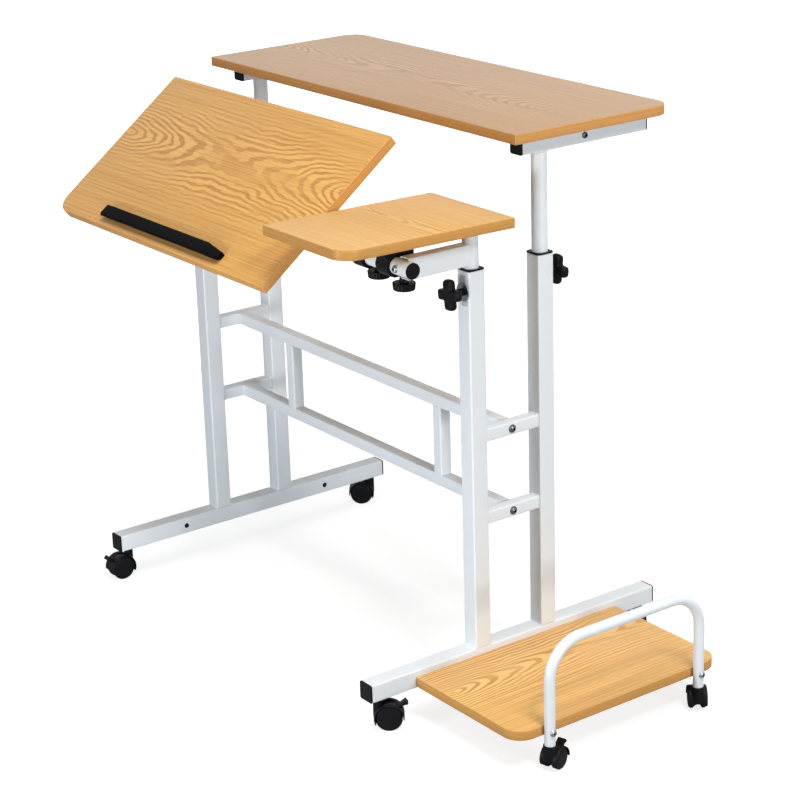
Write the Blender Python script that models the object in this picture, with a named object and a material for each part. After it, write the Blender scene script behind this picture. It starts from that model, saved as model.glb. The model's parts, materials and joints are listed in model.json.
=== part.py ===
"""Mobile laptop table: a tilting desk board and a side board in front, a rear shelf and a computer shelf.

Metres, +Z up. +X is the right hand of the person at the desk, +Y points away from that person.
The table is laid out about the floor point between its legs, then its root empty is moved so that the
world origin lies under the middle of the whole object, on the floor.
"""

import math

import bmesh
import bpy
from mathutils import Matrix, Vector

# Boards
TABLE_WIDTH = 0.800
BOARD_THICKNESS = 0.015
BOARD_EDGE_EASE = 0.0008
BOARD_CORNER_RADIUS = 0.030
SHARP_CORNER_RADIUS = 0.002
REAR_SHELF_DEPTH = 0.298
REAR_SHELF_OVERHANG = 0.072
REAR_SHELF_TOP = 0.857
FRONT_BOARD_DEPTH = 0.298
TILT_BOARD_WIDTH = 0.604
SIDE_BOARD_WIDTH = 0.197
BOARD_GAP = 0.003
CASE_SHELF_WIDTH = 0.235
CASE_SHELF_DEPTH = 0.390
CASE_SHELF_DROP = 0.0105

# Stopper ledge on the tilting board
STOPPER_LENGTH = 0.342
STOPPER_SHIFT = 0.006
STOPPER_DEPTH = 0.021
STOPPER_HEIGHT = 0.012
STOPPER_UNDERCUT = 0.008
STOPPER_LEFT_TAPER = 0.004
STOPPER_RIGHT_TAPER = 0.042
STOPPER_END_SHARE = 0.7
STOPPER_SETBACK = 0.012

# Base frame of square tube
FOOT_BOTTOM = 0.051
FOOT_TUBE = 0.0285
FOOT_LENGTH = 0.547
FOOT_OFFSET = 0.003
FOOT_SPACING = 0.7275
SHELF_HOLE_SPACING = 0.290
SHELF_HOLE_RADIUS = 0.003
LEG_TUBE = 0.0285
LEG_SPACING = 0.1275
LEG_TOP = 0.666
TUBE_WALL = 0.0012
TUBE_CORNER_RADIUS = 0.0025
STUB_TUBE = 0.020
UPPER_STUB_HEIGHT = 0.4115
LOWER_STUB_HEIGHT = 0.2818
STRUT_SPACING = 0.404
WELD_OVERLAP = 0.0006

# Telescoping posts and the tubes that they carry
POST_DIAMETER = 0.024
POST_WALL = 0.0015
POST_BOTTOM = 0.330
POST_HEADROOM = 0.003
CROSS_TUBE_WIDTH = 0.026
CROSS_TUBE_HEIGHT = 0.024
CROSS_TUBE_LENGTH = 0.234
CROSS_TUBE_FRONT = 0.040
ARM_WIDTH = 0.020
ARM_HEIGHT = 0.032
PIVOT_REACH = 0.116
PIVOT_RISE = 0.0235
PIVOT_DIAMETER = 0.024
PIVOT_TUBE_OVERHANG = 0.018
BUSHING_FLANGE = 0.0025
BUSHING_LIP = 0.0008
BUSHING_SLEEVE = 0.024
CAP_FLANGE = 0.0025
CAP_PLUG = 0.008

# Tilt clamps under the front boards
TILT_ANGLE = math.radians(37.3)
SIDE_ANGLE = math.radians(-1.0)
PIVOT_SETBACK = 0.129
CLAMP_RISE = 0.037
CLAMP_WIDTH = 0.028
CLAMP_BASE = 0.062
CLAMP_BASE_THICKNESS = 0.006
CLAMP_WALL = 0.005
CLAMP_SLIT = 0.003
CLAMP_LUG = 0.008
CLAMP_LUG_REACH = 0.030
CLAMP_BOLT_OFFSET = 0.0225
CLAMP_BOLT_DIAMETER = 0.006
CLAMP_BOLT_RISE = 0.016
TILT_CLAMP_ARM_DISTANCE = 0.05175
TILT_CLAMP_EDGE_DISTANCE = 0.092
SIDE_CLAMP_ARM_DISTANCE = 0.03225
SIDE_CLAMP_SPACING = 0.060
CLAMP_KNOB_DIAMETER = 0.034
CLAMP_KNOB_THICKNESS = 0.011
CLAMP_KNOB_NECK = 0.016
CLAMP_KNOB_NECK_DIAMETER = 0.012
CLAMP_KNOB_FLUTES = 12
CLAMP_KNOB_FLUTE_DEPTH = 0.0006
LOOSE_KNOB_DROP = 0.005

# Star knobs that lock the posts
STAR_KNOB_DROP = 0.031
STAR_KNOB_DIAMETER = 0.048
STAR_KNOB_VALLEY_DIAMETER = 0.026
STAR_KNOB_THICKNESS = 0.014
STAR_KNOB_LOBES = 4
STAR_KNOB_HUB_DIAMETER = 0.015
FRONT_STAR_HUB_LENGTH = 0.014
REAR_STAR_HUB_LENGTH = 0.0075
STAR_KNOB_STANDOFF = 0.002
STAR_KNOB_STEM_DIAMETER = 0.008

# Hoop along the computer shelf
HOOP_TUBE = 0.016
HOOP_SPACING = 0.285
HOOP_BAR_HEIGHT = 0.194
HOOP_BOTTOM = 0.0405
HOOP_BEND_RADIUS = 0.055
HOOP_SOCKET_DEPTH = 0.014

# Twin-wheel casters
WHEEL_DIAMETER = 0.040
WHEEL_WIDTH = 0.0105
WHEEL_SHOULDER = 0.0025
WHEEL_FACE_RECESS = 0.0012
WHEEL_RIM = 0.004
AXLE_DIAMETER = 0.006
HOOP_CASTER_SCALE = 0.80
CASTER_END_DISTANCE = 0.0187
HOOD_WALL = 0.0020
HOOD_LEAD = 0.0068
HOOD_WEB = 0.005
HOOD_LEADING_EDGE = 0.011
HOOD_TRAILING_EDGE = 0.018
HOOD_SIDE = 0.0005
WHEEL_CLEARANCE = 0.0008
NECK_DIAMETER = 0.015
HOOP_NECK_DIAMETER = 0.020
STEM_DIAMETER = 0.008
STEM_LENGTH = 0.012
BRAKE_WIDTH = 0.013
BRAKE_SLOT_LOW = math.radians(33)
BRAKE_SLOT_HIGH = math.radians(63)
BRAKE_ROOT_LOW = math.radians(40)
BRAKE_ROOT_HIGH = math.radians(60)
BRAKE_PIVOT_ANGLE = math.radians(56)
BRAKE_TAB_REACH = 0.0125

# Swivel angle of each caster in the stored pose, and whether it has a brake
LEFT_FRONT_SWIVEL = math.radians(180)
LEFT_REAR_SWIVEL = math.radians(144)
RIGHT_FRONT_SWIVEL = math.radians(-36)
RIGHT_REAR_SWIVEL = math.radians(-150)
HOOP_FRONT_SWIVEL = math.radians(18)
HOOP_REAR_SWIVEL = math.radians(54)

# Clearances
SEAT_GAP = 0.0003
RUNNING_GAP = 0.00025
INSERT_GAP = 0.0002
BRAKE_GAP = 0.0004

# Facets
ROUND_SIDES = 24
SMALL_ROUND_SIDES = 14
KNOB_POINTS = 32
CORNER_STEPS = 2
BEND_STEPS = 6
SMOOTH_ANGLE = math.radians(35)
CUT_MARGIN = 0.002

# Places worked out from the driving dimensions
FOOT_TOP = FOOT_BOTTOM + FOOT_TUBE
FOOT_X = FOOT_SPACING / 2
FOOT_FRONT = FOOT_OFFSET - FOOT_LENGTH / 2
FOOT_REAR = FOOT_OFFSET + FOOT_LENGTH / 2
CASTER_REACH = FOOT_LENGTH / 2 - CASTER_END_DISTANCE
FRONT_LEG_Y = -LEG_SPACING / 2
REAR_LEG_Y = LEG_SPACING / 2
PIVOT_Y = FRONT_LEG_Y - PIVOT_REACH
PIVOT_HEIGHT = LEG_TOP + PIVOT_RISE
BOARD_UNDERSIDE = PIVOT_HEIGHT + CLAMP_RISE
CROSS_TUBE_TOP = REAR_SHELF_TOP - BOARD_THICKNESS - SEAT_GAP
CASE_SHELF_TOP = FOOT_TOP - CASE_SHELF_DROP
CASE_SHELF_INNER = FOOT_X + FOOT_TUBE / 2 + SEAT_GAP
CASE_SHELF_OUTER = CASE_SHELF_INNER + CASE_SHELF_WIDTH
HOOP_X = CASE_SHELF_OUTER + SEAT_GAP + HOOP_TUBE / 2
WHEEL_RADIUS = WHEEL_DIAMETER / 2
WHEEL_INNER = HOOD_WEB / 2 + WHEEL_CLEARANCE
WHEEL_OUTER = WHEEL_INNER + WHEEL_WIDTH
HOOD_HALF_WIDTH = WHEEL_OUTER + HOOD_SIDE
SIDES = {"left": -1, "right": 1}


# Outlines, as lists of two-number points

def circle(radius, count):
    """Points round a circle, from its top."""
    turn = 2 * math.pi / count
    return [(-radius * math.sin(i * turn), radius * math.cos(i * turn)) for i in range(count)]


def corner_arc(centre, radius, start, steps):
    """Points of a quarter turn about a corner's centre."""
    angles = [start + i * math.pi / 2 / steps for i in range(steps + 1)]
    return [(centre[0] + radius * math.cos(a), centre[1] + radius * math.sin(a)) for a in angles]


def rounded_rectangle(low, high, radii, steps=CORNER_STEPS):
    """Rectangle between two corners; radii run front left, front right, back right, back left."""
    front_left, front_right, back_right, back_left = radii
    corners = [
        ((low[0] + front_left, low[1] + front_left), front_left, math.pi),
        ((high[0] - front_right, low[1] + front_right), front_right, 1.5 * math.pi),
        ((high[0] - back_right, high[1] - back_right), back_right, 0.0),
        ((low[0] + back_left, high[1] - back_left), back_left, 0.5 * math.pi),
    ]
    return [point for corner in corners for point in corner_arc(*corner, steps)]


def centred_rectangle(width, height, radius):
    """Rectangle about the origin with four equal corners."""
    return rounded_rectangle((-width / 2, -height / 2), (width / 2, height / 2), (radius,) * 4)


def square_by_angle(side, chamfer, count):
    """Square with cut corners, its points at the same angles as those of a circle of that count."""
    points = []
    for i in range(count):
        across, up = -math.sin(2 * math.pi * i / count), math.cos(2 * math.pi * i / count)
        reach = min(side / 2 / max(abs(across), abs(up)), (side - chamfer) / (abs(across) + abs(up)))
        points.append((reach * across, reach * up))
    return points


def lobed(tip_radius, valley_radius, lobes, count):
    """Closed wave with a number of lobes between two radii, one lobe straight up."""
    middle, swing = (tip_radius + valley_radius) / 2, (tip_radius - valley_radius) / 2
    points = []
    for i in range(count):
        angle = 2 * math.pi * i / count
        reach = middle + swing * math.cos(lobes * angle)
        points.append((-reach * math.sin(angle), reach * math.cos(angle)))
    return points


# Meshes

def place(a, b, level, axis):
    """Point of an outline that is drawn across the named axis at a level along it."""
    return {"X": Vector((level, a, b)), "Y": Vector((a, level, b)), "Z": Vector((a, b, level))}[axis]


def ring(outline, level, axis, centre=(0.0, 0.0)):
    """Outline as points in space."""
    return [place(a + centre[0], b + centre[1], level, axis) for a, b in outline]


def loft(rings, closed=False):
    """Mesh through rings of equal count: capped at both ends, or closed from the last to the first."""
    work = bmesh.new()
    loops = [[work.verts.new(point) for point in points] for points in rings]
    following = loops[1:] + loops[:1] if closed else loops[1:]
    for lower, upper in zip(loops, following):
        for i, corner in enumerate(lower):
            after = (i + 1) % len(lower)
            work.faces.new((corner, lower[after], upper[after], upper[i]))
    if not closed:
        work.faces.new(loops[0])
        work.faces.new(loops[-1])
    bmesh.ops.recalc_face_normals(work, faces=work.faces)
    mesh = bpy.data.meshes.new("shape")
    work.to_mesh(mesh)
    work.free()
    return mesh


def rod(radius, start, end, axis, centre=(0.0, 0.0), count=SMALL_ROUND_SIDES):
    """Round rod between two levels along an axis."""
    outline = circle(radius, count)
    return loft([ring(outline, start, axis, centre), ring(outline, end, axis, centre)])


def tube(outer, inner, start, end, axis, centre=(0.0, 0.0)):
    """Open tube between two levels along an axis, from its outer and inner outlines."""
    levels = [(outer, start), (outer, end), (inner, end), (inner, start)]
    return loft([ring(outline, level, axis, centre) for outline, level in levels], closed=True)


def square_tube(width, height, start, end, axis, centre=(0.0, 0.0)):
    """Open rectangular tube with rounded corners."""
    outer = centred_rectangle(width, height, TUBE_CORNER_RADIUS)
    inner_radius = max(TUBE_CORNER_RADIUS - TUBE_WALL, TUBE_CORNER_RADIUS / 4)
    inner = centred_rectangle(width - 2 * TUBE_WALL, height - 2 * TUBE_WALL, inner_radius)
    return tube(outer, inner, start, end, axis, centre)


def turned(profile, axis, count):
    """Solid of revolution from its radius and level pairs, flat at both ends."""
    return loft([ring(circle(radius, count), level, axis) for radius, level in profile])


def combine(mesh, operation, *tools):
    """Join other meshes to a mesh, or cut them out of it, and return the result."""
    scene_objects = bpy.context.scene.collection.objects
    base = bpy.data.objects.new("base", mesh)
    scene_objects.link(base)
    helpers = []
    for tool in tools:
        helper = bpy.data.objects.new("tool", tool)
        scene_objects.link(helper)
        helpers.append(helper)
        step = base.modifiers.new("step", "BOOLEAN")
        step.operation = operation
        step.solver = "EXACT"
        step.object = helper
    shaped = base.evaluated_get(bpy.context.evaluated_depsgraph_get())
    result = bpy.data.meshes.new_from_object(shaped)
    for helper in [base, *helpers]:
        bpy.data.objects.remove(helper)
    return result


def moved(mesh, offset):
    """The same mesh shifted."""
    mesh.transform(Matrix.Translation(offset))
    return mesh


# Scene objects

def make_finish(name, colour, roughness, metallic=0.0):
    """Plain material of one finish."""
    material = bpy.data.materials.new(name)
    material.use_nodes = True
    shader = material.node_tree.nodes["Principled BSDF"]
    shader.inputs["Base Color"].default_value = (*colour, 1.0)
    shader.inputs["Roughness"].default_value = roughness
    shader.inputs["Metallic"].default_value = metallic
    return material


def add_empty(name, parent, location=(0.0, 0.0, 0.0), rotation=(0.0, 0.0, 0.0)):
    """Empty that marks a joint or carries a group."""
    empty = bpy.data.objects.new(name, None)
    empty.parent = parent
    empty.location = location
    empty.rotation_euler = rotation
    bpy.context.scene.collection.objects.link(empty)
    return empty


def add_part(name, mesh, finish, parent, location=(0.0, 0.0, 0.0)):
    """Named piece with its material, shaded smooth across shallow edges."""
    mesh.name = name
    mesh.shade_smooth()
    mesh.set_sharp_from_angle(angle=SMOOTH_ANGLE)
    mesh.materials.clear()
    mesh.materials.append(finish)
    part = bpy.data.objects.new(name, mesh)
    part.parent = parent
    part.location = location
    bpy.context.scene.collection.objects.link(part)
    return part


# Boards

def board_mesh(low, high, underside, radii):
    """Laminated board with eased edges, between two plan corners."""
    def outline(inset):
        eased = [max(radius - inset, SHARP_CORNER_RADIUS / 2) for radius in radii]
        inner_low = (low[0] + inset, low[1] + inset)
        inner_high = (high[0] - inset, high[1] - inset)
        return rounded_rectangle(inner_low, inner_high, eased, BEND_STEPS)

    top = underside + BOARD_THICKNESS
    levels = [
        (BOARD_EDGE_EASE, underside),
        (0.0, underside + BOARD_EDGE_EASE),
        (0.0, top - BOARD_EDGE_EASE),
        (BOARD_EDGE_EASE, top),
    ]
    return loft([ring(outline(inset), level, "Z") for inset, level in levels])


def build_rear_shelf(carriage, oak):
    """Rear shelf across both rear brackets, rounded at the back."""
    front = REAR_LEG_Y - REAR_SHELF_OVERHANG
    radii = (SHARP_CORNER_RADIUS, SHARP_CORNER_RADIUS, BOARD_CORNER_RADIUS, BOARD_CORNER_RADIUS)
    low, high = (-TABLE_WIDTH / 2, front), (TABLE_WIDTH / 2, front + REAR_SHELF_DEPTH)
    mesh = board_mesh(low, high, REAR_SHELF_TOP - BOARD_THICKNESS, radii)
    add_part("rear_shelf_board", moved(mesh, -carriage.location), oak, carriage)


def build_front_boards(tilt_pivot, side_pivot, oak, plastic):
    """Tilting board with its stopper and the side board, each about the pivot tube."""
    front, back = -PIVOT_SETBACK, FRONT_BOARD_DEPTH - PIVOT_SETBACK
    side_left = TABLE_WIDTH / 2 - SIDE_BOARD_WIDTH
    tilt_right = side_left - BOARD_GAP
    tilt_left = tilt_right - TILT_BOARD_WIDTH
    sharp, soft = SHARP_CORNER_RADIUS, BOARD_CORNER_RADIUS
    tilt = board_mesh((tilt_left, front), (tilt_right, back), CLAMP_RISE, (soft, sharp, sharp, sharp))
    add_part("tilt_board", tilt, oak, tilt_pivot)
    side = board_mesh((side_left, front), (TABLE_WIDTH / 2, back), CLAMP_RISE, (sharp, soft, sharp, sharp))
    add_part("side_board", side, oak, side_pivot)
    middle = (tilt_left + tilt_right) / 2
    add_part("stopper_ledge", stopper_mesh(), plastic, tilt_pivot,
             (middle + STOPPER_SHIFT, front + STOPPER_SETBACK, CLAMP_RISE + BOARD_THICKNESS + SEAT_GAP))


def stopper_mesh():
    """Low ledge with an overhanging front lip, drawn in and lowered towards its ends."""
    def section(share):
        depth, height = STOPPER_DEPTH * share, STOPPER_HEIGHT * share
        undercut, ease = STOPPER_UNDERCUT * share, STOPPER_HEIGHT * share / 5
        return [(undercut, 0.0), (depth, 0.0), (depth, height - ease), (depth - ease, height),
                (ease, height), (0.0, height - ease), (0.0, height - 2 * ease)]

    full, end = section(1.0), section(STOPPER_END_SHARE)
    half = STOPPER_LENGTH / 2
    left, right = STOPPER_LEFT_TAPER - half, half - STOPPER_RIGHT_TAPER
    stations = [(end, -half), (full, left), (full, right), (end, half)]
    return loft([ring(outline, level, "X") for outline, level in stations])


def build_case_shelf(root, oak):
    """Shelf for a computer case, outside the right foot, rounded at its outer corners."""
    radii = (SHARP_CORNER_RADIUS, BOARD_CORNER_RADIUS, BOARD_CORNER_RADIUS, SHARP_CORNER_RADIUS)
    low = (CASE_SHELF_INNER, FOOT_OFFSET - CASE_SHELF_DEPTH / 2)
    high = (CASE_SHELF_OUTER, FOOT_OFFSET + CASE_SHELF_DEPTH / 2)
    mesh = board_mesh(low, high, CASE_SHELF_TOP - BOARD_THICKNESS, radii)
    add_part("case_shelf_board", mesh, oak, root)


# Base frame

def build_feet(root, steel, plastic):
    """Foot tubes with holes for the caster stems and the shelf screws, and a cap in each end."""
    stem_radius = STEM_DIAMETER / 2 + RUNNING_GAP
    for side, sign in SIDES.items():
        x = sign * FOOT_X
        centre = (x, FOOT_BOTTOM + FOOT_TUBE / 2)
        foot = square_tube(FOOT_TUBE, FOOT_TUBE, FOOT_FRONT, FOOT_REAR, "Y", centre)
        holes = []
        for end in (-1, 1):
            stem_y = FOOT_OFFSET + end * CASTER_REACH
            low, high = FOOT_BOTTOM - CUT_MARGIN, FOOT_BOTTOM + TUBE_WALL + CUT_MARGIN
            holes.append(rod(stem_radius, low, high, "Z", (x, stem_y)))
            screw = (FOOT_OFFSET + end * SHELF_HOLE_SPACING / 2, centre[1])
            reach = FOOT_TUBE / 2 + CUT_MARGIN
            holes.append(rod(SHELF_HOLE_RADIUS, x - reach, x + reach, "X", screw, SMALL_ROUND_SIDES // 2))
        add_part(f"{side}_foot", combine(foot, "DIFFERENCE", *holes), steel, root)
        for end_name, level, outward in (("front", FOOT_FRONT, -1), ("rear", FOOT_REAR, 1)):
            cap = tube_cap(FOOT_TUBE, FOOT_TUBE, outward)
            face = (x, level + outward * SEAT_GAP, centre[1])
            add_part(f"{side}_{end_name}_foot_cap", cap, plastic, root, face)


def tube_cap(width, height, outward):
    """Square end cap: an eased flange and a plug that enters the tube, along Y."""
    slack = 2 * (TUBE_WALL + INSERT_GAP)
    ease = CAP_FLANGE / 4
    flange = centred_rectangle(width, height, TUBE_CORNER_RADIUS)
    face = centred_rectangle(width - 2 * ease, height - 2 * ease, TUBE_CORNER_RADIUS)
    plug = centred_rectangle(width - slack, height - slack, TUBE_CORNER_RADIUS)
    levels = [(face, CAP_FLANGE), (flange, CAP_FLANGE - ease), (flange, 0.0), (plug, 0.0), (plug, -CAP_PLUG)]
    return loft([ring(outline, outward * level, "Y") for outline, level in levels])


def build_legs(root, steel, plastic):
    """Hollow legs with a knob hole near the top; each front leg carries the two stubs to its rear leg."""
    for side, sign in SIDES.items():
        x = sign * FOOT_X
        for place_name, y, outward in (("front", FRONT_LEG_Y, -1), ("rear", REAR_LEG_Y, 1)):
            leg = square_tube(LEG_TUBE, LEG_TUBE, FOOT_TOP + SEAT_GAP, LEG_TOP, "Z", (x, y))
            if place_name == "front":
                leg = with_stubs(leg, x)
            face = y + outward * LEG_TUBE / 2
            hole_radius = STAR_KNOB_STEM_DIAMETER / 2 + RUNNING_GAP
            ends = sorted((face - outward * (TUBE_WALL + CUT_MARGIN), face + outward * CUT_MARGIN))
            hole = rod(hole_radius, ends[0], ends[1], "Y", (x, LEG_TOP - STAR_KNOB_DROP))
            add_part(f"{side}_{place_name}_leg", combine(leg, "DIFFERENCE", hole), steel, root)
            rim = (x, y, LEG_TOP + SEAT_GAP)
            add_part(f"{side}_{place_name}_bushing", bushing_mesh(), plastic, root, rim)


def with_stubs(leg, x):
    """Front leg with two square stubs that run back to the face of the rear leg, open at that end."""
    leg_back = FRONT_LEG_Y + LEG_TUBE / 2
    stub_end = REAR_LEG_Y - LEG_TUBE / 2 - SEAT_GAP
    solid = centred_rectangle(STUB_TUBE, STUB_TUBE, TUBE_CORNER_RADIUS)
    bore = centred_rectangle(STUB_TUBE - 2 * TUBE_WALL, STUB_TUBE - 2 * TUBE_WALL, TUBE_CORNER_RADIUS / 2)
    stubs, bores = [], []
    for height in (UPPER_STUB_HEIGHT, LOWER_STUB_HEIGHT):
        ends = (leg_back - WELD_OVERLAP, stub_end)
        stubs.append(loft([ring(solid, level, "Y", (x, height)) for level in ends]))
        hollow = (leg_back + TUBE_WALL, stub_end + CUT_MARGIN)
        bores.append(loft([ring(bore, level, "Y", (x, height)) for level in hollow]))
    return combine(combine(leg, "UNION", *stubs), "DIFFERENCE", *bores)


def bushing_mesh():
    """Square flange on the leg and a sleeve inside it, bored round for the post."""
    bore = circle(POST_DIAMETER / 2 + RUNNING_GAP, ROUND_SIDES)
    flange = square_by_angle(LEG_TUBE + 2 * BUSHING_LIP, TUBE_CORNER_RADIUS, ROUND_SIDES)
    sleeve_side = LEG_TUBE - 2 * (TUBE_WALL + INSERT_GAP)
    sleeve = square_by_angle(sleeve_side, TUBE_CORNER_RADIUS, ROUND_SIDES)
    levels = [
        (bore, BUSHING_FLANGE), (flange, BUSHING_FLANGE), (flange, 0.0),
        (sleeve, 0.0), (sleeve, -BUSHING_SLEEVE), (bore, -BUSHING_SLEEVE),
    ]
    return loft([ring(outline, level, "Z") for outline, level in levels], closed=True)


def build_back_frame(root, steel):
    """Two rails between the stubs of both sides, with two struts welded between them."""
    reach = FOOT_X - STUB_TUBE / 2 - SEAT_GAP
    rails = []
    for height in (UPPER_STUB_HEIGHT, LOWER_STUB_HEIGHT):
        rails.append(square_tube(STUB_TUBE, STUB_TUBE, -reach, reach, "X", (0.0, height)))
    section = centred_rectangle(STUB_TUBE, STUB_TUBE, TUBE_CORNER_RADIUS)
    low = LOWER_STUB_HEIGHT + STUB_TUBE / 2 - WELD_OVERLAP
    high = UPPER_STUB_HEIGHT - STUB_TUBE / 2 + WELD_OVERLAP
    struts = []
    for sign in SIDES.values():
        centre = (sign * STRUT_SPACING / 2, 0.0)
        struts.append(loft([ring(section, level, "Z", centre) for level in (low, high)]))
    frame = combine(rails[0], "UNION", *struts, rails[1])
    add_part("back_frame", frame, steel, root)


# Telescoping brackets

def post_mesh(x, y, top, bore_top):
    """Round post, hollow from below."""
    post = rod(POST_DIAMETER / 2, POST_BOTTOM, top, "Z", (x, y), ROUND_SIDES)
    bore = rod(POST_DIAMETER / 2 - POST_WALL, POST_BOTTOM - CUT_MARGIN, bore_top, "Z", (x, y), ROUND_SIDES)
    return combine(post, "DIFFERENCE", bore)


def build_shelf_brackets(carriage, steel, plastic):
    """Rear brackets: a cross tube under each end of the shelf on a post that slides in the rear leg."""
    front = REAR_LEG_Y - CROSS_TUBE_FRONT
    middle = CROSS_TUBE_TOP - CROSS_TUBE_HEIGHT / 2
    underside = CROSS_TUBE_TOP - CROSS_TUBE_HEIGHT
    for side, sign in SIDES.items():
        x = sign * FOOT_X
        ends = (front, front + CROSS_TUBE_LENGTH)
        cross = square_tube(CROSS_TUBE_WIDTH, CROSS_TUBE_HEIGHT, *ends, "Y", (x, middle))
        post = post_mesh(x, REAR_LEG_Y, underside + WELD_OVERLAP, underside - POST_WALL)
        bracket = combine(cross, "UNION", post)
        add_part(f"{side}_shelf_bracket", moved(bracket, -carriage.location), steel, carriage)
        for end_name, level, outward in (("front", ends[0], -1), ("rear", ends[1], 1)):
            cap = tube_cap(CROSS_TUBE_WIDTH, CROSS_TUBE_HEIGHT, outward)
            face = Vector((x, level + outward * SEAT_GAP, middle)) - carriage.location
            add_part(f"{side}_shelf_bracket_{end_name}_cap", cap, plastic, carriage, face)


def build_desk_brackets(carriage, steel):
    """Front brackets: a post that slides in the front leg, with an arm coped round the pivot tube."""
    section = centred_rectangle(ARM_WIDTH, ARM_HEIGHT, TUBE_CORNER_RADIUS)
    bore = centred_rectangle(ARM_WIDTH - 2 * TUBE_WALL, ARM_HEIGHT - 2 * TUBE_WALL, TUBE_CORNER_RADIUS / 2)
    top = BOARD_UNDERSIDE - POST_HEADROOM
    bore_top = PIVOT_HEIGHT - ARM_HEIGHT / 2 - POST_WALL
    post_front = FRONT_LEG_Y - POST_DIAMETER / 2
    for side, sign in SIDES.items():
        x = sign * FOOT_X
        centre = (x, PIVOT_HEIGHT)
        post = post_mesh(x, FRONT_LEG_Y, top, bore_top)
        arm = loft([ring(section, level, "Y", centre) for level in (PIVOT_Y, FRONT_LEG_Y)])
        hollow = loft([ring(bore, level, "Y", centre) for level in (PIVOT_Y - CUT_MARGIN, post_front)])
        reach = ARM_WIDTH / 2 + CUT_MARGIN
        cope_radius = PIVOT_DIAMETER / 2 + SEAT_GAP
        cope = rod(cope_radius, x - reach, x + reach, "X", (PIVOT_Y, PIVOT_HEIGHT), ROUND_SIDES)
        bracket = combine(combine(post, "UNION", arm), "DIFFERENCE", hollow, cope)
        add_part(f"{side}_desk_bracket", moved(bracket, -carriage.location), steel, carriage)


def build_pivot_tube(carriage, steel, plastic):
    """Round tube across both arms, with a plug in each end."""
    half = FOOT_X + PIVOT_TUBE_OVERHANG
    outer = circle(PIVOT_DIAMETER / 2, ROUND_SIDES)
    inner = circle(PIVOT_DIAMETER / 2 - POST_WALL, ROUND_SIDES)
    axis = Vector((0.0, PIVOT_Y, PIVOT_HEIGHT)) - carriage.location
    add_part("pivot_tube", tube(outer, inner, -half, half, "X"), steel, carriage, axis)
    ease = CAP_FLANGE / 3
    radius = PIVOT_DIAMETER / 2
    plug_radius = radius - POST_WALL - INSERT_GAP
    for side, sign in SIDES.items():
        profile = [
            (radius - 2 * ease, CAP_FLANGE), (radius, CAP_FLANGE - ease), (radius, 0.0),
            (plug_radius, 0.0), (plug_radius, -CAP_PLUG),
        ]
        mesh = turned([(reach, sign * level) for reach, level in profile], "X", ROUND_SIDES)
        face = axis + Vector((sign * (half + SEAT_GAP), 0.0, 0.0))
        add_part(f"{side}_pivot_plug", mesh, plastic, carriage, face)


# Tilt clamps, in a frame with the pivot axis at its origin and the board above

def clamp_mesh():
    """Split saddle clamp: a base under the board, a ring round the tube, and two lugs at the slit."""
    bore_radius = PIVOT_DIAMETER / 2 + RUNNING_GAP
    ring_radius = bore_radius + CLAMP_WALL
    half_slit = CLAMP_SLIT / 2
    base_top = CLAMP_RISE - SEAT_GAP
    base_low = base_top - CLAMP_BASE_THICKNESS
    mouth = math.asin(half_slit / bore_radius)
    lug_low = -half_slit - CLAMP_LUG
    shoulder, heel = math.radians(150), 2 * math.pi + math.asin(lug_low / ring_radius)
    outer = [shoulder + i * (heel - shoulder) / 10 for i in range(11)]
    bore = [-mouth - i * (2 * math.pi - 2 * mouth) / 28 for i in range(29)]
    outline = [(-CLAMP_BASE / 2, base_top), (-CLAMP_BASE / 2, base_low)]
    outline += [(ring_radius * math.cos(a), ring_radius * math.sin(a)) for a in outer]
    outline += [(CLAMP_LUG_REACH, lug_low), (CLAMP_LUG_REACH, -half_slit)]
    outline += [(bore_radius * math.cos(a), bore_radius * math.sin(a)) for a in bore]
    outline += [(CLAMP_LUG_REACH, half_slit), (CLAMP_BASE / 2, base_low), (CLAMP_BASE / 2, base_top)]
    body = loft([ring(outline, level, "X") for level in (-CLAMP_WIDTH / 2, CLAMP_WIDTH / 2)])
    hole_radius = CLAMP_BOLT_DIAMETER / 2 + RUNNING_GAP
    hole_top = CLAMP_BOLT_RISE + SEAT_GAP
    hole = rod(hole_radius, lug_low - CUT_MARGIN, hole_top, "Z", (0.0, CLAMP_BOLT_OFFSET))
    return combine(body, "DIFFERENCE", hole)


def clamp_knob_mesh():
    """Round fluted thumb knob on a neck, with the bolt that enters the clamp from below."""
    lug_low = -CLAMP_SLIT / 2 - CLAMP_LUG - SEAT_GAP
    disc_top = lug_low - CLAMP_KNOB_NECK
    disc_low = disc_top - CLAMP_KNOB_THICKNESS
    radius = CLAMP_KNOB_DIAMETER / 2
    ease = CLAMP_KNOB_THICKNESS / 6
    points = 2 * CLAMP_KNOB_FLUTES
    rim = lobed(radius, radius - CLAMP_KNOB_FLUTE_DEPTH, CLAMP_KNOB_FLUTES, points)
    inner = circle(radius - 2 * ease, points)
    neck = circle(CLAMP_KNOB_NECK_DIAMETER / 2, points)
    bolt = circle(CLAMP_BOLT_DIAMETER / 2, points)
    levels = [
        (inner, disc_low), (rim, disc_low + ease), (rim, disc_top - ease), (inner, disc_top),
        (neck, disc_top), (neck, lug_low), (bolt, lug_low), (bolt, CLAMP_BOLT_RISE),
    ]
    return loft([ring(outline, level, "Z") for outline, level in levels])


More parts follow.
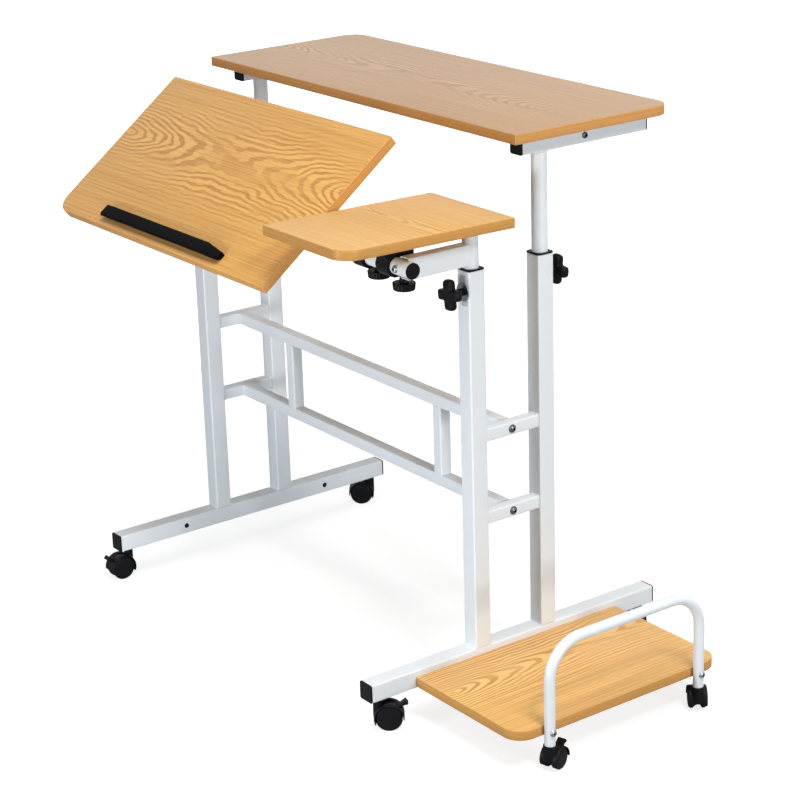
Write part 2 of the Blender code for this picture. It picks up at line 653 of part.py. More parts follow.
def build_clamps(tilt_pivot, side_pivot, plastic):
    """Two clamps with their knobs under each front board."""
    tilt_board_right = TABLE_WIDTH / 2 - SIDE_BOARD_WIDTH - BOARD_GAP
    side_clamp_right = FOOT_X - SIDE_CLAMP_ARM_DISTANCE
    clamps = [
        ("tilt_clamp_left", tilt_pivot, TILT_CLAMP_ARM_DISTANCE - FOOT_X, 0.0),
        ("tilt_clamp_right", tilt_pivot, tilt_board_right - TILT_CLAMP_EDGE_DISTANCE, 0.0),
        ("side_clamp_left", side_pivot, side_clamp_right - SIDE_CLAMP_SPACING, 0.0),
        ("side_clamp_right", side_pivot, side_clamp_right, LOOSE_KNOB_DROP),
    ]
    for name, pivot, x, drop in clamps:
        add_part(name, clamp_mesh(), plastic, pivot, (x, 0.0, 0.0))
        add_part(f"{name}_knob", clamp_knob_mesh(), plastic, pivot, (x, CLAMP_BOLT_OFFSET, -drop))


# Star knobs

def star_knob_mesh(outward, hub_length):
    """Star head, hub and screw stem along Y; the stem passes the leg wall and stops short of the post."""
    tip = LEG_TUBE / 2 - POST_DIAMETER / 2 - SEAT_GAP
    hub_start = STAR_KNOB_STANDOFF
    head_start = hub_start + hub_length
    head_end = head_start + STAR_KNOB_THICKNESS
    ease = STAR_KNOB_THICKNESS / 5

    def star(inset):
        tip_radius = STAR_KNOB_DIAMETER / 2 - inset
        return lobed(tip_radius, STAR_KNOB_VALLEY_DIAMETER / 2 - inset, STAR_KNOB_LOBES, KNOB_POINTS)

    stem = circle(STAR_KNOB_STEM_DIAMETER / 2, KNOB_POINTS)
    hub = circle(STAR_KNOB_HUB_DIAMETER / 2, KNOB_POINTS)
    levels = [
        (stem, -tip), (stem, hub_start), (hub, hub_start), (hub, head_start), (star(ease), head_start),
        (star(0.0), head_start + ease), (star(0.0), head_end - ease), (star(ease), head_end),
    ]
    return loft([ring(outline, outward * level, "Y") for outline, level in levels])


def build_star_knobs(root, plastic):
    """A star knob on the outer face of each leg, in line with the slide of its post."""
    rows = [
        ("front", FRONT_LEG_Y, -1, FRONT_STAR_HUB_LENGTH),
        ("rear", REAR_LEG_Y, 1, REAR_STAR_HUB_LENGTH),
    ]
    for side, sign in SIDES.items():
        for place_name, leg_y, outward, hub_length in rows:
            face = (sign * FOOT_X, leg_y + outward * LEG_TUBE / 2, LEG_TOP - STAR_KNOB_DROP)
            mesh = star_knob_mesh(outward, hub_length)
            add_part(f"{side}_{place_name}_star_knob", mesh, plastic, root, face)


# Hoop

def build_hoop(root, steel):
    """Bent tube along the outer edge of the case shelf, with a socket for a caster in each leg."""
    half = HOOP_SPACING / 2
    bend_y, bend_z = half - HOOP_BEND_RADIUS, HOOP_BAR_HEIGHT - HOOP_BEND_RADIUS
    arc = [i * math.pi / 2 / BEND_STEPS for i in range(BEND_STEPS + 1)]
    bend = HOOP_BEND_RADIUS
    rear = [(bend_y + bend * math.cos(a), bend_z + bend * math.sin(a), a) for a in arc]
    front = [(-y, z, math.pi - a) for y, z, a in reversed(rear)]
    route = [(half, HOOP_BOTTOM, 0.0), *rear, *front, (-half, HOOP_BOTTOM, math.pi)]
    section = circle(HOOP_TUBE / 2, SMALL_ROUND_SIDES)
    rings = []
    for y, z, outward in route:
        across = Vector((0.0, math.cos(outward), math.sin(outward)))
        middle = Vector((HOOP_X, FOOT_OFFSET + y, z))
        rings.append([middle + a * across + Vector((b, 0.0, 0.0)) for a, b in section])
    sockets = []
    for sign in (-1, 1):
        depth = (HOOP_BOTTOM - CUT_MARGIN, HOOP_BOTTOM + HOOP_SOCKET_DEPTH)
        centre = (HOOP_X, FOOT_OFFSET + sign * half)
        sockets.append(rod(STEM_DIAMETER / 2 + RUNNING_GAP, *depth, "Z", centre))
    add_part("hoop", combine(loft(rings), "DIFFERENCE", *sockets), steel, root)


# Casters, in a frame with the swivel axis at its origin, the floor at zero and the wheels trailing along +Y

def hood_radii(scale):
    """Inner and outer radius of the hood."""
    inner = scale * WHEEL_RADIUS + WHEEL_CLEARANCE
    return inner, inner + HOOD_WALL


def axle_place(scale):
    """Trail and height of the axle."""
    return hood_radii(scale)[1] - HOOD_LEAD, scale * WHEEL_RADIUS


def axle_point(scale, radius, angle):
    """Point across the axle, by its distance from the axle and its angle above the trailing direction."""
    trail, height = axle_place(scale)
    return trail + radius * math.cos(angle), height + radius * math.sin(angle)


def wheel_mesh(scale):
    """Two wheels on one axle, with round shoulders and a shallow dish in each outer face."""
    radius, axle = scale * WHEEL_RADIUS, AXLE_DIAMETER / 2
    shoulder = radius - WHEEL_SHOULDER
    dish = shoulder - WHEEL_RIM
    half = [
        (dish, WHEEL_OUTER - WHEEL_FACE_RECESS), (dish, WHEEL_OUTER), (shoulder, WHEEL_OUTER),
        (radius, WHEEL_OUTER - WHEEL_SHOULDER), (radius, WHEEL_INNER), (axle, WHEEL_INNER),
    ]
    profile = half + [(reach, -level) for reach, level in reversed(half)]
    return turned(profile, "X", ROUND_SIDES)


def hood_mesh(scale, neck_diameter, neck_top, braked):
    """Hood over both wheels with a web between them, a neck under the frame and a swivel stem."""
    inside, outside = hood_radii(scale)
    axle = axle_place(scale)
    drum = rod(outside, -HOOD_HALF_WIDTH, HOOD_HALF_WIDTH, "X", axle, ROUND_SIDES)
    neck_radius, stem_radius = neck_diameter / 2, STEM_DIAMETER / 2
    stem_top = neck_top + STEM_LENGTH
    seat = rod(neck_radius - WHEEL_CLEARANCE, neck_top - CUT_MARGIN / 4, neck_top + STEM_LENGTH, "Z")
    neck = turned([(neck_radius, axle[1]), (neck_radius, neck_top), (stem_radius, neck_top),
                   (stem_radius, stem_top)], "Z", SMALL_ROUND_SIDES)
    reach = HOOD_HALF_WIDTH + CUT_MARGIN + neck_radius
    running = AXLE_DIAMETER / 2 + RUNNING_GAP
    room = [(inside, -reach), (inside, -HOOD_WEB / 2), (running, -HOOD_WEB / 2),
            (running, HOOD_WEB / 2), (inside, HOOD_WEB / 2), (inside, reach)]
    wheel_room = moved(turned(room, "X", ROUND_SIDES), (0.0, *axle))
    low_y, high_y = axle[0] - 2 * outside, axle[0] + 2 * outside
    fall = scale * (HOOD_TRAILING_EDGE - HOOD_LEADING_EDGE)
    middle = scale * (HOOD_TRAILING_EDGE + HOOD_LEADING_EDGE) / 2
    skirt = [(low_y, -outside), (high_y, -outside), (high_y, middle + fall), (low_y, middle - fall)]
    open_side = loft([ring(skirt, level, "X") for level in (-reach, reach)])
    cuts = [wheel_room, open_side]
    if braked:
        cuts.append(brake_slot(scale))
    seated = combine(drum, "DIFFERENCE", seat)
    return combine(combine(seated, "UNION", neck), "DIFFERENCE", *cuts)


def brake_slot(scale):
    """Slot through the hood for the brake lever."""
    low, high = BRAKE_SLOT_LOW, BRAKE_SLOT_HIGH
    inside, outside = hood_radii(scale)
    inner, outer = inside - CUT_MARGIN / 4, outside + CUT_MARGIN
    middle = (low + high) / 2
    corners = [(inner, low), (outer, low), (outer, middle), (outer, high), (inner, high), (inner, middle)]
    outline = [axle_point(scale, radius, angle) for radius, angle in corners]
    reach = BRAKE_WIDTH / 2 + BRAKE_GAP
    return loft([ring(outline, level, "X") for level in (-reach, reach)])


def brake_mesh(scale):
    """Brake lever about its own pivot: a root in the slot of the hood and a tab to step on."""
    inside, outer = hood_radii(scale)
    inner = inside + BRAKE_GAP
    low, high = BRAKE_ROOT_LOW, BRAKE_ROOT_HIGH
    tip = outer + scale * BRAKE_TAB_REACH
    half_way = (outer + tip) / 2
    neck_angle = low + (high - low) / 3
    corners = [
        (inner, low), (outer + BRAKE_GAP, low), (half_way, low), (tip, low - (high - low) / 4),
        (tip + BRAKE_GAP, neck_angle), (half_way, neck_angle + (high - low) / 12),
        (outer, neck_angle + (high - low) / 4), (outer, high), (inner, high), (inner, (low + high) / 2),
    ]
    pivot_y, pivot_z = brake_pivot(scale)
    points = [axle_point(scale, radius, angle) for radius, angle in corners]
    centred = [(a - pivot_y, b - pivot_z) for a, b in points]
    return loft([ring(centred, level, "X") for level in (-BRAKE_WIDTH / 2, BRAKE_WIDTH / 2)])


def brake_pivot(scale):
    """Axis of the brake lever across the caster."""
    return axle_point(scale, sum(hood_radii(scale)) / 2, BRAKE_PIVOT_ANGLE)


def build_casters(root, plastic):
    """Six casters: one under each end of both feet and one under each leg of the hoop."""
    foot_neck = (1.0, NECK_DIAMETER, FOOT_BOTTOM - SEAT_GAP)
    hoop_neck = (HOOP_CASTER_SCALE, HOOP_NECK_DIAMETER, HOOP_BOTTOM - SEAT_GAP)
    casters = [
        ("left_front", -FOOT_X, -CASTER_REACH, LEFT_FRONT_SWIVEL, foot_neck, True),
        ("left_rear", -FOOT_X, CASTER_REACH, LEFT_REAR_SWIVEL, foot_neck, False),
        ("right_front", FOOT_X, -CASTER_REACH, RIGHT_FRONT_SWIVEL, foot_neck, True),
        ("right_rear", FOOT_X, CASTER_REACH, RIGHT_REAR_SWIVEL, foot_neck, False),
        ("hoop_front", HOOP_X, -HOOP_SPACING / 2, HOOP_FRONT_SWIVEL, hoop_neck, True),
        ("hoop_rear", HOOP_X, HOOP_SPACING / 2, HOOP_REAR_SWIVEL, hoop_neck, False),
    ]
    for name, x, y, swivel, neck, braked in casters:
        caster = add_empty(f"{name}_caster", root, (x, FOOT_OFFSET + y, 0.0), (0.0, 0.0, swivel))
        scale = neck[0]
        add_part(f"{name}_caster_hood", hood_mesh(*neck, braked), plastic, caster)
        add_part(f"{name}_caster_wheels", wheel_mesh(scale), plastic, caster, (0.0, *axle_place(scale)))
        if braked:
            add_part(f"{name}_caster_brake", brake_mesh(scale), plastic, caster, (0.0, *brake_pivot(scale)))


# Assembly

def clear_scene():
    """Remove what the scene holds at the start."""
    for item in list(bpy.data.objects):
        bpy.data.objects.remove(item)


def centre_on_floor(root):
    """Move the root so that the origin lies under the middle of the object's bounding box."""
    bpy.context.view_layer.update()
    corners = []
    for item in bpy.context.scene.objects:
        if item.type == "MESH":
            corners += [item.matrix_world @ vertex.co for vertex in item.data.vertices]
    middle = [(min(c[i] for c in corners) + max(c[i] for c in corners)) / 2 for i in range(2)]
    floor = min(c.z for c in corners)
    root.location = (-middle[0], -middle[1], -floor)
    bpy.context.view_layer.update()


def main():
    clear_scene()
    oak = make_finish("oak_laminate", (0.72, 0.44, 0.16), 0.45)
    steel = make_finish("white_powder_coat", (0.80, 0.82, 0.84), 0.40)
    plastic = make_finish("black_plastic", (0.012, 0.012, 0.014), 0.45)
    root = add_empty("table", None)
    shelf_carriage = add_empty("shelf_carriage", root, (0.0, REAR_LEG_Y, LEG_TOP))
    desk_carriage = add_empty("desk_carriage", root, (0.0, FRONT_LEG_Y, LEG_TOP))
    pivot = Vector((0.0, PIVOT_Y, PIVOT_HEIGHT)) - desk_carriage.location
    tilt_pivot = add_empty("tilt_pivot", desk_carriage, pivot, (TILT_ANGLE, 0.0, 0.0))
    side_pivot = add_empty("side_pivot", desk_carriage, pivot, (SIDE_ANGLE, 0.0, 0.0))
    build_rear_shelf(shelf_carriage, oak)
    build_front_boards(tilt_pivot, side_pivot, oak, plastic)
    build_case_shelf(root, oak)
    build_feet(root, steel, plastic)
    build_legs(root, steel, plastic)
    build_back_frame(root, steel)
    build_shelf_brackets(shelf_carriage, steel, plastic)
    build_desk_brackets(desk_carriage, steel)
    build_pivot_tube(desk_carriage, steel, plastic)
    build_clamps(tilt_pivot, side_pivot, plastic)
    build_star_knobs(root, plastic)
    build_hoop(root, steel)
    build_casters(root, plastic)
    centre_on_floor(root)


main()
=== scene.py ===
"""Looks of the mobile laptop table: finishes, smooth pieces, small fasteners and the studio.

Metres, +Z up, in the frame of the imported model. +X is the right hand of the person at the desk and +Y
points away from that person. Each sub-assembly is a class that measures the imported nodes, builds its pieces
in place and hands each of them to the body that carries it.
"""

import json
import logging
import math
from collections.abc import Callable, Sequence
from dataclasses import dataclass
from enum import Enum

import bmesh
import bpy
from mathutils import Matrix, Vector

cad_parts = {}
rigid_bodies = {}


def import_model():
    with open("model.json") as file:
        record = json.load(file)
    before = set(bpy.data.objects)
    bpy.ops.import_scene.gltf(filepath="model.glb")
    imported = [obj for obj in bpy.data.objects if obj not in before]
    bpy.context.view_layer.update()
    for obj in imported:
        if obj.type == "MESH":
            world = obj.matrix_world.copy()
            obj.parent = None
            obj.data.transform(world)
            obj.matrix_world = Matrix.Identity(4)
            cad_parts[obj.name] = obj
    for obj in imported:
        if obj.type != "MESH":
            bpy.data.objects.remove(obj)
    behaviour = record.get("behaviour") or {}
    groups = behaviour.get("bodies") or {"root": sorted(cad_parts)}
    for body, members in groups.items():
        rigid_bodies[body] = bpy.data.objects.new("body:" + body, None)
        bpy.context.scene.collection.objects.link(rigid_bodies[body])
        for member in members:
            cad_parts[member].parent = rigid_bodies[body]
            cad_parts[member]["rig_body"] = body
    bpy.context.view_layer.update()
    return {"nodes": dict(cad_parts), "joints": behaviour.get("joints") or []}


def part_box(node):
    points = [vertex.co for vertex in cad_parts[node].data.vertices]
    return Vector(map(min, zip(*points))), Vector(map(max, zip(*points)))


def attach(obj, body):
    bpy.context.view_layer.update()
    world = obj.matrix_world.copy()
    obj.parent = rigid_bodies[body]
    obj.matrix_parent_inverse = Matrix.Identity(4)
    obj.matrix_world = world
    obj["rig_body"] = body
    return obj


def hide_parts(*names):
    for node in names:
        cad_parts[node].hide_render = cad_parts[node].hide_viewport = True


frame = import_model()
UP = Vector((0.0, 0.0, 1.0))
RIGHT = Vector((1.0, 0.0, 0.0))
AWAY = Vector((0.0, 1.0, 0.0))
NEARLY_ZERO = 1e-6
SAME_POINT = 1e-6
FLAT_ANGLE = math.radians(0.5)
SMOOTH_ANGLE = math.radians(38)
SHARP_ANGLE = math.radians(50)
FLUTE_FULLNESS = 0.85
LEVEL_SLACK = 0.0001

Point = tuple[float, float]
Colour = tuple[float, float, float]
Socket = bpy.types.NodeSocket
Mesh = bpy.types.Mesh
Piece = bpy.types.Object

log = logging.getLogger("laptop_table")


class Side(Enum):
    """Side of the table, seen by the person at the desk."""

    LEFT = "left"
    RIGHT = "right"

    @property
    def sign(self) -> int:
        """Direction of the side along X."""
        return 1 if self is Side.RIGHT else -1


class Row(Enum):
    """Front or rear row of legs."""

    FRONT = "front"
    REAR = "rear"


class Recess(Enum):
    """Driver recess in the head of a screw."""

    HEX = "hex"
    CROSS = "cross"


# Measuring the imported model

def joint_place(name: str) -> tuple[Vector, Vector]:
    """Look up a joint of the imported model.

    Args:
        name: Name of the joint.

    Returns:
        A point on its axis and the direction of the axis.
    """
    found = next(joint for joint in frame["joints"] if joint["name"] == name)
    return Vector(found["pos_m"]), Vector(found["axis"]).normalized()


def body_of(node: str) -> str:
    """Name of the body that carries a node."""
    return frame["nodes"][node]["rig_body"]


def middle_of(node: str) -> Vector:
    """Middle of a node's box."""
    low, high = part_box(node)
    return (low + high) / 2


def local_box(node: str, place: Matrix) -> tuple[Vector, Vector]:
    """Measure a node in a frame of its own.

    Args:
        node: Name of the node.
        place: Matrix of the frame.

    Returns:
        The lowest and the highest corner in that frame.
    """
    back = place.inverted()
    points = [back @ vertex.co for vertex in frame["nodes"][node].data.vertices]
    low = Vector([min(point[i] for point in points) for i in range(3)])
    high = Vector([max(point[i] for point in points) for i in range(3)])
    return low, high


def aimed(origin: Vector, direction: Vector, across: Vector = RIGHT) -> Matrix:
    """Make a frame whose Z axis points along a direction.

    Args:
        origin: Origin of the frame.
        direction: Direction of its Z axis.
        across: Rough direction of its X axis.

    Returns:
        The matrix of the frame.
    """
    z_axis = direction.normalized()
    x_axis = (across - z_axis * across.dot(z_axis)).normalized()
    y_axis = z_axis.cross(x_axis)
    return Matrix.Translation(origin) @ Matrix((x_axis, y_axis, z_axis)).transposed().to_4x4()


# Outlines and meshes

def around(reaches: Sequence[float]) -> list[Point]:
    """Points at even angles about the origin, each at its own distance."""
    turn = 2 * math.pi / len(reaches)
    return [(reach * math.cos(i * turn), reach * math.sin(i * turn)) for i, reach in enumerate(reaches)]


def circle(radius: float, count: int) -> list[Point]:
    """Points round a circle."""
    return around([radius] * count)


def rounded_rectangle(low: Point, high: Point, radii: Sequence[float], steps: int) -> list[Point]:
    """Draw a rectangle with a round at each corner.

    Args:
        low: Front left corner.
        high: Back right corner.
        radii: Radius at the front left, front right, back right and back left corner.
        steps: Segments of each round.

    Returns:
        The points of the outline.
    """
    front_left, front_right, back_right, back_left = radii
    corners = [
        (low[0] + front_left, low[1] + front_left, front_left, 2),
        (high[0] - front_right, low[1] + front_right, front_right, 3),
        (high[0] - back_right, high[1] - back_right, back_right, 0),
        (low[0] + back_left, high[1] - back_left, back_left, 1),
    ]
    points = []
    for x, y, radius, quarter in corners:
        for i in range(steps + 1):
            angle = (quarter + i / steps) * math.pi / 2
            points.append((x + radius * math.cos(angle), y + radius * math.sin(angle)))
    return points


def fluted(tip: float, valley: float, flutes: int, count: int) -> list[Point]:
    """Draw a circle with flutes in it.

    Args:
        tip: Radius between the flutes.
        valley: Radius in them.
        flutes: Number of flutes.
        count: Number of points.

    Returns:
        The points of the outline.
    """
    waves = [0.5 + 0.5 * math.cos(2 * math.pi * flutes * i / count) for i in range(count)]
    return around([valley + (tip - valley) * wave ** FLUTE_FULLNESS for wave in waves])


def crossed(tip: float, valley: float, width: float, lobes: int, count: int) -> list[Point]:
    """Draw a star of straight-sided lobes with blunt ends.

    Args:
        tip: Radius at the lobes.
        valley: Radius between them.
        width: Width of a lobe.
        lobes: Number of lobes.
        count: Number of points.

    Returns:
        The points of the outline.
    """
    step = 2 * math.pi / lobes
    reaches = []
    for i in range(count):
        lean = abs((2 * math.pi * i / count + step / 2) % step - step / 2)
        flank = width / 2 / max(math.sin(lean), NEARLY_ZERO)
        reaches.append(max(valley, min(tip, flank)))
    return around([(reaches[i - 1] + 2 * reaches[i] + reaches[(i + 1) % count]) / 4 for i in range(count)])


def eased(points: Sequence[Point], radius: float, steps: int = 3) -> list[Point]:
    """Round off the inner corners of an open line.

    Args:
        points: Corners of the line.
        radius: How far from a corner its round starts.
        steps: Segments of each round.

    Returns:
        The points of the softened line.
    """
    softened = [tuple(points[0])]
    for before, corner, after in zip(points, points[1:], points[2:]):
        middle = Vector(corner)
        back, ahead = Vector(before) - middle, Vector(after) - middle
        reach = min(radius, back.length / 2, ahead.length / 2)
        start, end = middle + back.normalized() * reach, middle + ahead.normalized() * reach
        for i in range(steps + 1):
            share = i / steps
            point = start * (1 - share) ** 2 + middle * 2 * share * (1 - share) + end * share ** 2
            softened.append(tuple(point))
    softened.append(tuple(points[-1]))
    return softened


def ring(outline: Sequence[Point], level: float) -> list[Vector]:
    """Outline at a level along Z."""
    return [Vector((x, y, level)) for x, y in outline]


def settled(work: bmesh.types.BMesh) -> Mesh:
    """Turn a work mesh into a mesh and free it.

    Args:
        work: The work mesh.

    Returns:
        The mesh.
    """
    mesh = bpy.data.meshes.new("shape")
    work.to_mesh(mesh)
    work.free()
    return mesh


def loft(rings: Sequence[Sequence[Vector]], closed: bool = False) -> Mesh:
    """Make a skin through rings of equal count.

    Args:
        rings: Rings in order.
        closed: Join the last ring to the first one and leave out the two caps.

    Returns:
        The mesh.
    """
    work = bmesh.new()
    loops = [[work.verts.new(point) for point in points] for points in rings]
    following = loops[1:] + loops[:1] if closed else loops[1:]
    for lower, upper in zip(loops, following):
        for i, corner in enumerate(lower):
            after = (i + 1) % len(lower)
            work.faces.new((corner, lower[after], upper[after], upper[i]))
    if not closed:
        work.faces.new(loops[0])
        work.faces.new(loops[-1])
    bmesh.ops.recalc_face_normals(work, faces=work.faces)
    return settled(work)


def turned(profile: Sequence[Point], steps: int) -> Mesh:
    """Solid of revolution about Z from its radius and level pairs."""
    return loft([ring(circle(radius, steps), level) for radius, level in profile])


def swept(route: Sequence[Vector], side: Vector, radii: Sequence[float], closed: bool, count: int) -> Mesh:
    """Lead a round section along a flat route.

    Args:
        route: Points of the route.
        side: Direction across the plane of the route.
        radii: Radius of the section at each point.
        closed: Whether the route ends where it starts.
        count: Points round the section.

    Returns:
        The mesh.
    """
    rings = []
    last = len(route) - 1
    for i, point in enumerate(route):
        before = route[i - 1] if closed or i else point
        after = route[(i + 1) % len(route)] if closed or i < last else point
        across = (after - before).normalized().cross(side)
        rings.append([point + across * a + side * b for a, b in circle(radii[i], count)])
    return loft(rings, closed)


def joined(meshes: Sequence[Mesh]) -> Mesh:
    """Gather several meshes into one.

    Args:
        meshes: The meshes.

    Returns:
        The whole.
    """
    work = bmesh.new()
    for mesh in meshes:
        work.from_mesh(mesh)
    return settled(work)


def put(mesh: Mesh, place: Matrix) -> Mesh:
    """The same mesh, moved by a matrix."""
    mesh.transform(place)
    return mesh


def carved(mesh: Mesh, cutter: Mesh) -> Mesh:
    """Cut one mesh out of another.

    Args:
        mesh: Mesh to cut.
        cutter: Closed mesh to take away.

    Returns:
        The cut mesh.
    """
    links = bpy.context.scene.collection.objects
    block, tool = bpy.data.objects.new("block", mesh), bpy.data.objects.new("tool", cutter)
    links.link(block)
    links.link(tool)
    step = block.modifiers.new("cut", "BOOLEAN")
    step.operation = "DIFFERENCE"
    step.solver = "EXACT"
    step.object = tool
    shaped = block.evaluated_get(bpy.context.evaluated_depsgraph_get())
    result = bpy.data.meshes.new_from_object(shaped)
    bpy.data.objects.remove(block)
    bpy.data.objects.remove(tool)
    return result


# Shader nodes

NOISE_MIDDLE = 0.5


class Sketch:
    """Short calls that add and wire the nodes of one tree."""

    def __init__(self, tree: bpy.types.NodeTree) -> None:
        """Keep the tree that the calls add to."""
        self.tree = tree

    def add(self, kind: str, **settings: object) -> bpy.types.Node:
        """Add a node.

        Args:
            kind: Type of the node, without its prefix.
            settings: Options of the node by name.

        Returns:
            The node.
        """
        node = self.tree.nodes.new(f"ShaderNode{kind}")
        for name, value in settings.items():
            setattr(node, name, value)
        return node

    def feed(self, socket: Socket, value: object) -> None:
        """Wire an output to a socket, or set the socket to a plain value.

        Args:
            socket: The socket.
            value: The output, or the plain value.
        """
        if isinstance(value, bpy.types.NodeSocket):
            self.tree.links.new(value, socket)
        elif socket.type == "RGBA":
            socket.default_value = (*value, 1.0)
        else:
            socket.default_value = value

    def math(self, operation: str, *values: object) -> Socket:
        """Work out a number from sockets and plain numbers.

        Args:
            operation: Blender's name of the operation.
            values: Its operands.

        Returns:
            The result.
        """
        node = self.add("Math", operation=operation)
        for socket, value in zip(node.inputs, values):
            self.feed(socket, value)
        return node.outputs[0]

    def noise(self, position: Socket, scale: object, detail: float) -> Socket:
        """Read soft noise.

        Args:
            position: Where to read it.
            scale: Waves per metre.
            detail: Octaves of finer noise.

        Returns:
            A value about one half.
        """
        node = self.add("TexNoise")
        self.feed(node.inputs["Vector"], position)
        self.feed(node.inputs["Scale"], scale)
        node.inputs["Detail"].default_value = detail
        return node.outputs["Fac"]

    def grain(self, position: Socket, waves: Sequence[float], detail: float) -> Socket:
        """Read soft noise that is drawn out along the axes.

        Args:
            position: Where to read it.
            waves: Waves per metre along each axis.
            detail: Octaves of finer noise.

        Returns:
            A value about one half.
        """
        node = self.add("VectorMath", operation="MULTIPLY")
        self.feed(node.inputs[0], position)
        self.feed(node.inputs[1], waves)
        return self.noise(node.outputs[0], 1.0, detail)

    def centred(self, value: Socket) -> Socket:
        """A value about one half, moved to lie about zero."""
        return self.math("SUBTRACT", value, NOISE_MIDDLE)

    def band(self, value: Socket, low: object, high: object) -> Socket:
        """Ease a value from zero at one mark to one at another.

        Args:
            value: The value.
            low: Mark where the result is zero.
            high: Mark where it is one.

        Returns:
            The eased value.
        """
        node = self.add("MapRange", interpolation_type="SMOOTHSTEP")
        self.feed(node.inputs["Value"], value)
        self.feed(node.inputs["From Min"], low)
        self.feed(node.inputs["From Max"], high)
        return node.outputs["Result"]

    def mix(self, share: object, first: object, second: object) -> Socket:
        """Blend two colours.

        Args:
            share: Share of the second colour.
            first: First colour.
            second: Second colour.

        Returns:
            The blended colour.
        """
        node = self.add("Mix", data_type="RGBA")
        for index, value in ((0, share), (6, first), (7, second)):
            self.feed(node.inputs[index], value)
        return node.outputs[2]

    def bump(self, height: Socket, distance: float) -> Socket:
        """Turn a height into a normal.

        Args:
            height: Height over the surface, from zero to one.
            distance: What a height of one stands for.

        Returns:
            The normal.
        """
        node = self.add("Bump")
        node.inputs["Distance"].default_value = distance
        self.feed(node.inputs["Height"], height)
        return node.outputs["Normal"]

    def position(self) -> Socket:
        """Position on the piece in its own frame."""
        return self.add("TexCoord").outputs["Object"]


SOCKET_KINDS = {"vector": "NodeSocketVector", "value": "NodeSocketFloat", "colour": "NodeSocketColor"}


@dataclass(frozen=True)
class Effect:
    """Node group that several finishes share, with named inputs and outputs.

    Args:
        name: Name of the group.
        inputs: Kind of each input by name.
        outputs: Kind of each output by name.
        draw: Function that draws its nodes and returns what each output takes.
    """

    name: str
    inputs: dict[str, str]
    outputs: dict[str, str]
    draw: Callable[[Sketch, dict[str, Socket]], dict[str, Socket]]

    def tree(self) -> bpy.types.NodeTree:
        """Draw the group's tree the first time that it is asked for.

        Returns:
            The tree.
        """
        made = bpy.data.node_groups.get(self.name)
        if made is None:
            made = bpy.data.node_groups.new(self.name, "ShaderNodeTree")
            for direction, kinds in (("INPUT", self.inputs), ("OUTPUT", self.outputs)):
                for name, kind in kinds.items():
                    made.interface.new_socket(name, in_out=direction, socket_type=SOCKET_KINDS[kind])
            start, end = made.nodes.new("NodeGroupInput"), made.nodes.new("NodeGroupOutput")
            given = {name: start.outputs[name] for name in self.inputs}
            for name, socket in self.draw(Sketch(made), given).items():
                made.links.new(socket, end.inputs[name])
        return made

    def place(self, sketch: Sketch, **values: object) -> dict[str, Socket]:
        """Place the group in a material.

        Args:
            sketch: Sketch of the material.
            values: What each input takes, by its name in lower case with underscores. Other names, such as
                those of a finish's other fields, are passed over.

        Returns:
            The group's outputs by name.
        """
        node = sketch.add("Group", node_tree=self.tree())
        for name in self.inputs:
            key = name.lower().replace(" ", "_")
            if key in values:
                sketch.feed(node.inputs[name], values[key])
        return {name: node.outputs[name] for name in self.outputs}


# Noises of the grain: waves per metre along, across and through it, then octaves of finer noise
SWAY = ((2.3, 1.2, 1.0), 0.0)
RIPPLE = ((13.0, 30.0, 1.0), 2.0)
STREAKS = ((3.0, 320.0, 1.0), 3.0)
FIBRE = ((18.0, 620.0, 1.0), 2.0)
PORES = ((55.0, 1300.0, 1.0), 1.0)
PATCHES = ((5.0, 12.0, 1.0), 1.0)

# Marks between which a mask of the grain rises
EARLY_WOOD = (0.24, 0.42)
LATE_WOOD = (0.84, 0.98)
OPEN_PORE = (0.58, 0.70)
CLEAR_PATCH = (0.30, 0.65)
FLAME_CORE = 0.02

# Weights of the grain
RING_GAIN = 0.84
RING_LEAST = 0.13
STREAK_GAIN = 1.55
FIBRE_TINT = 0.22
FIBRE_HEIGHT = 0.4
FIBRE_ROUGHNESS = 0.12
LAMINATE_ROUGHNESS = 0.30


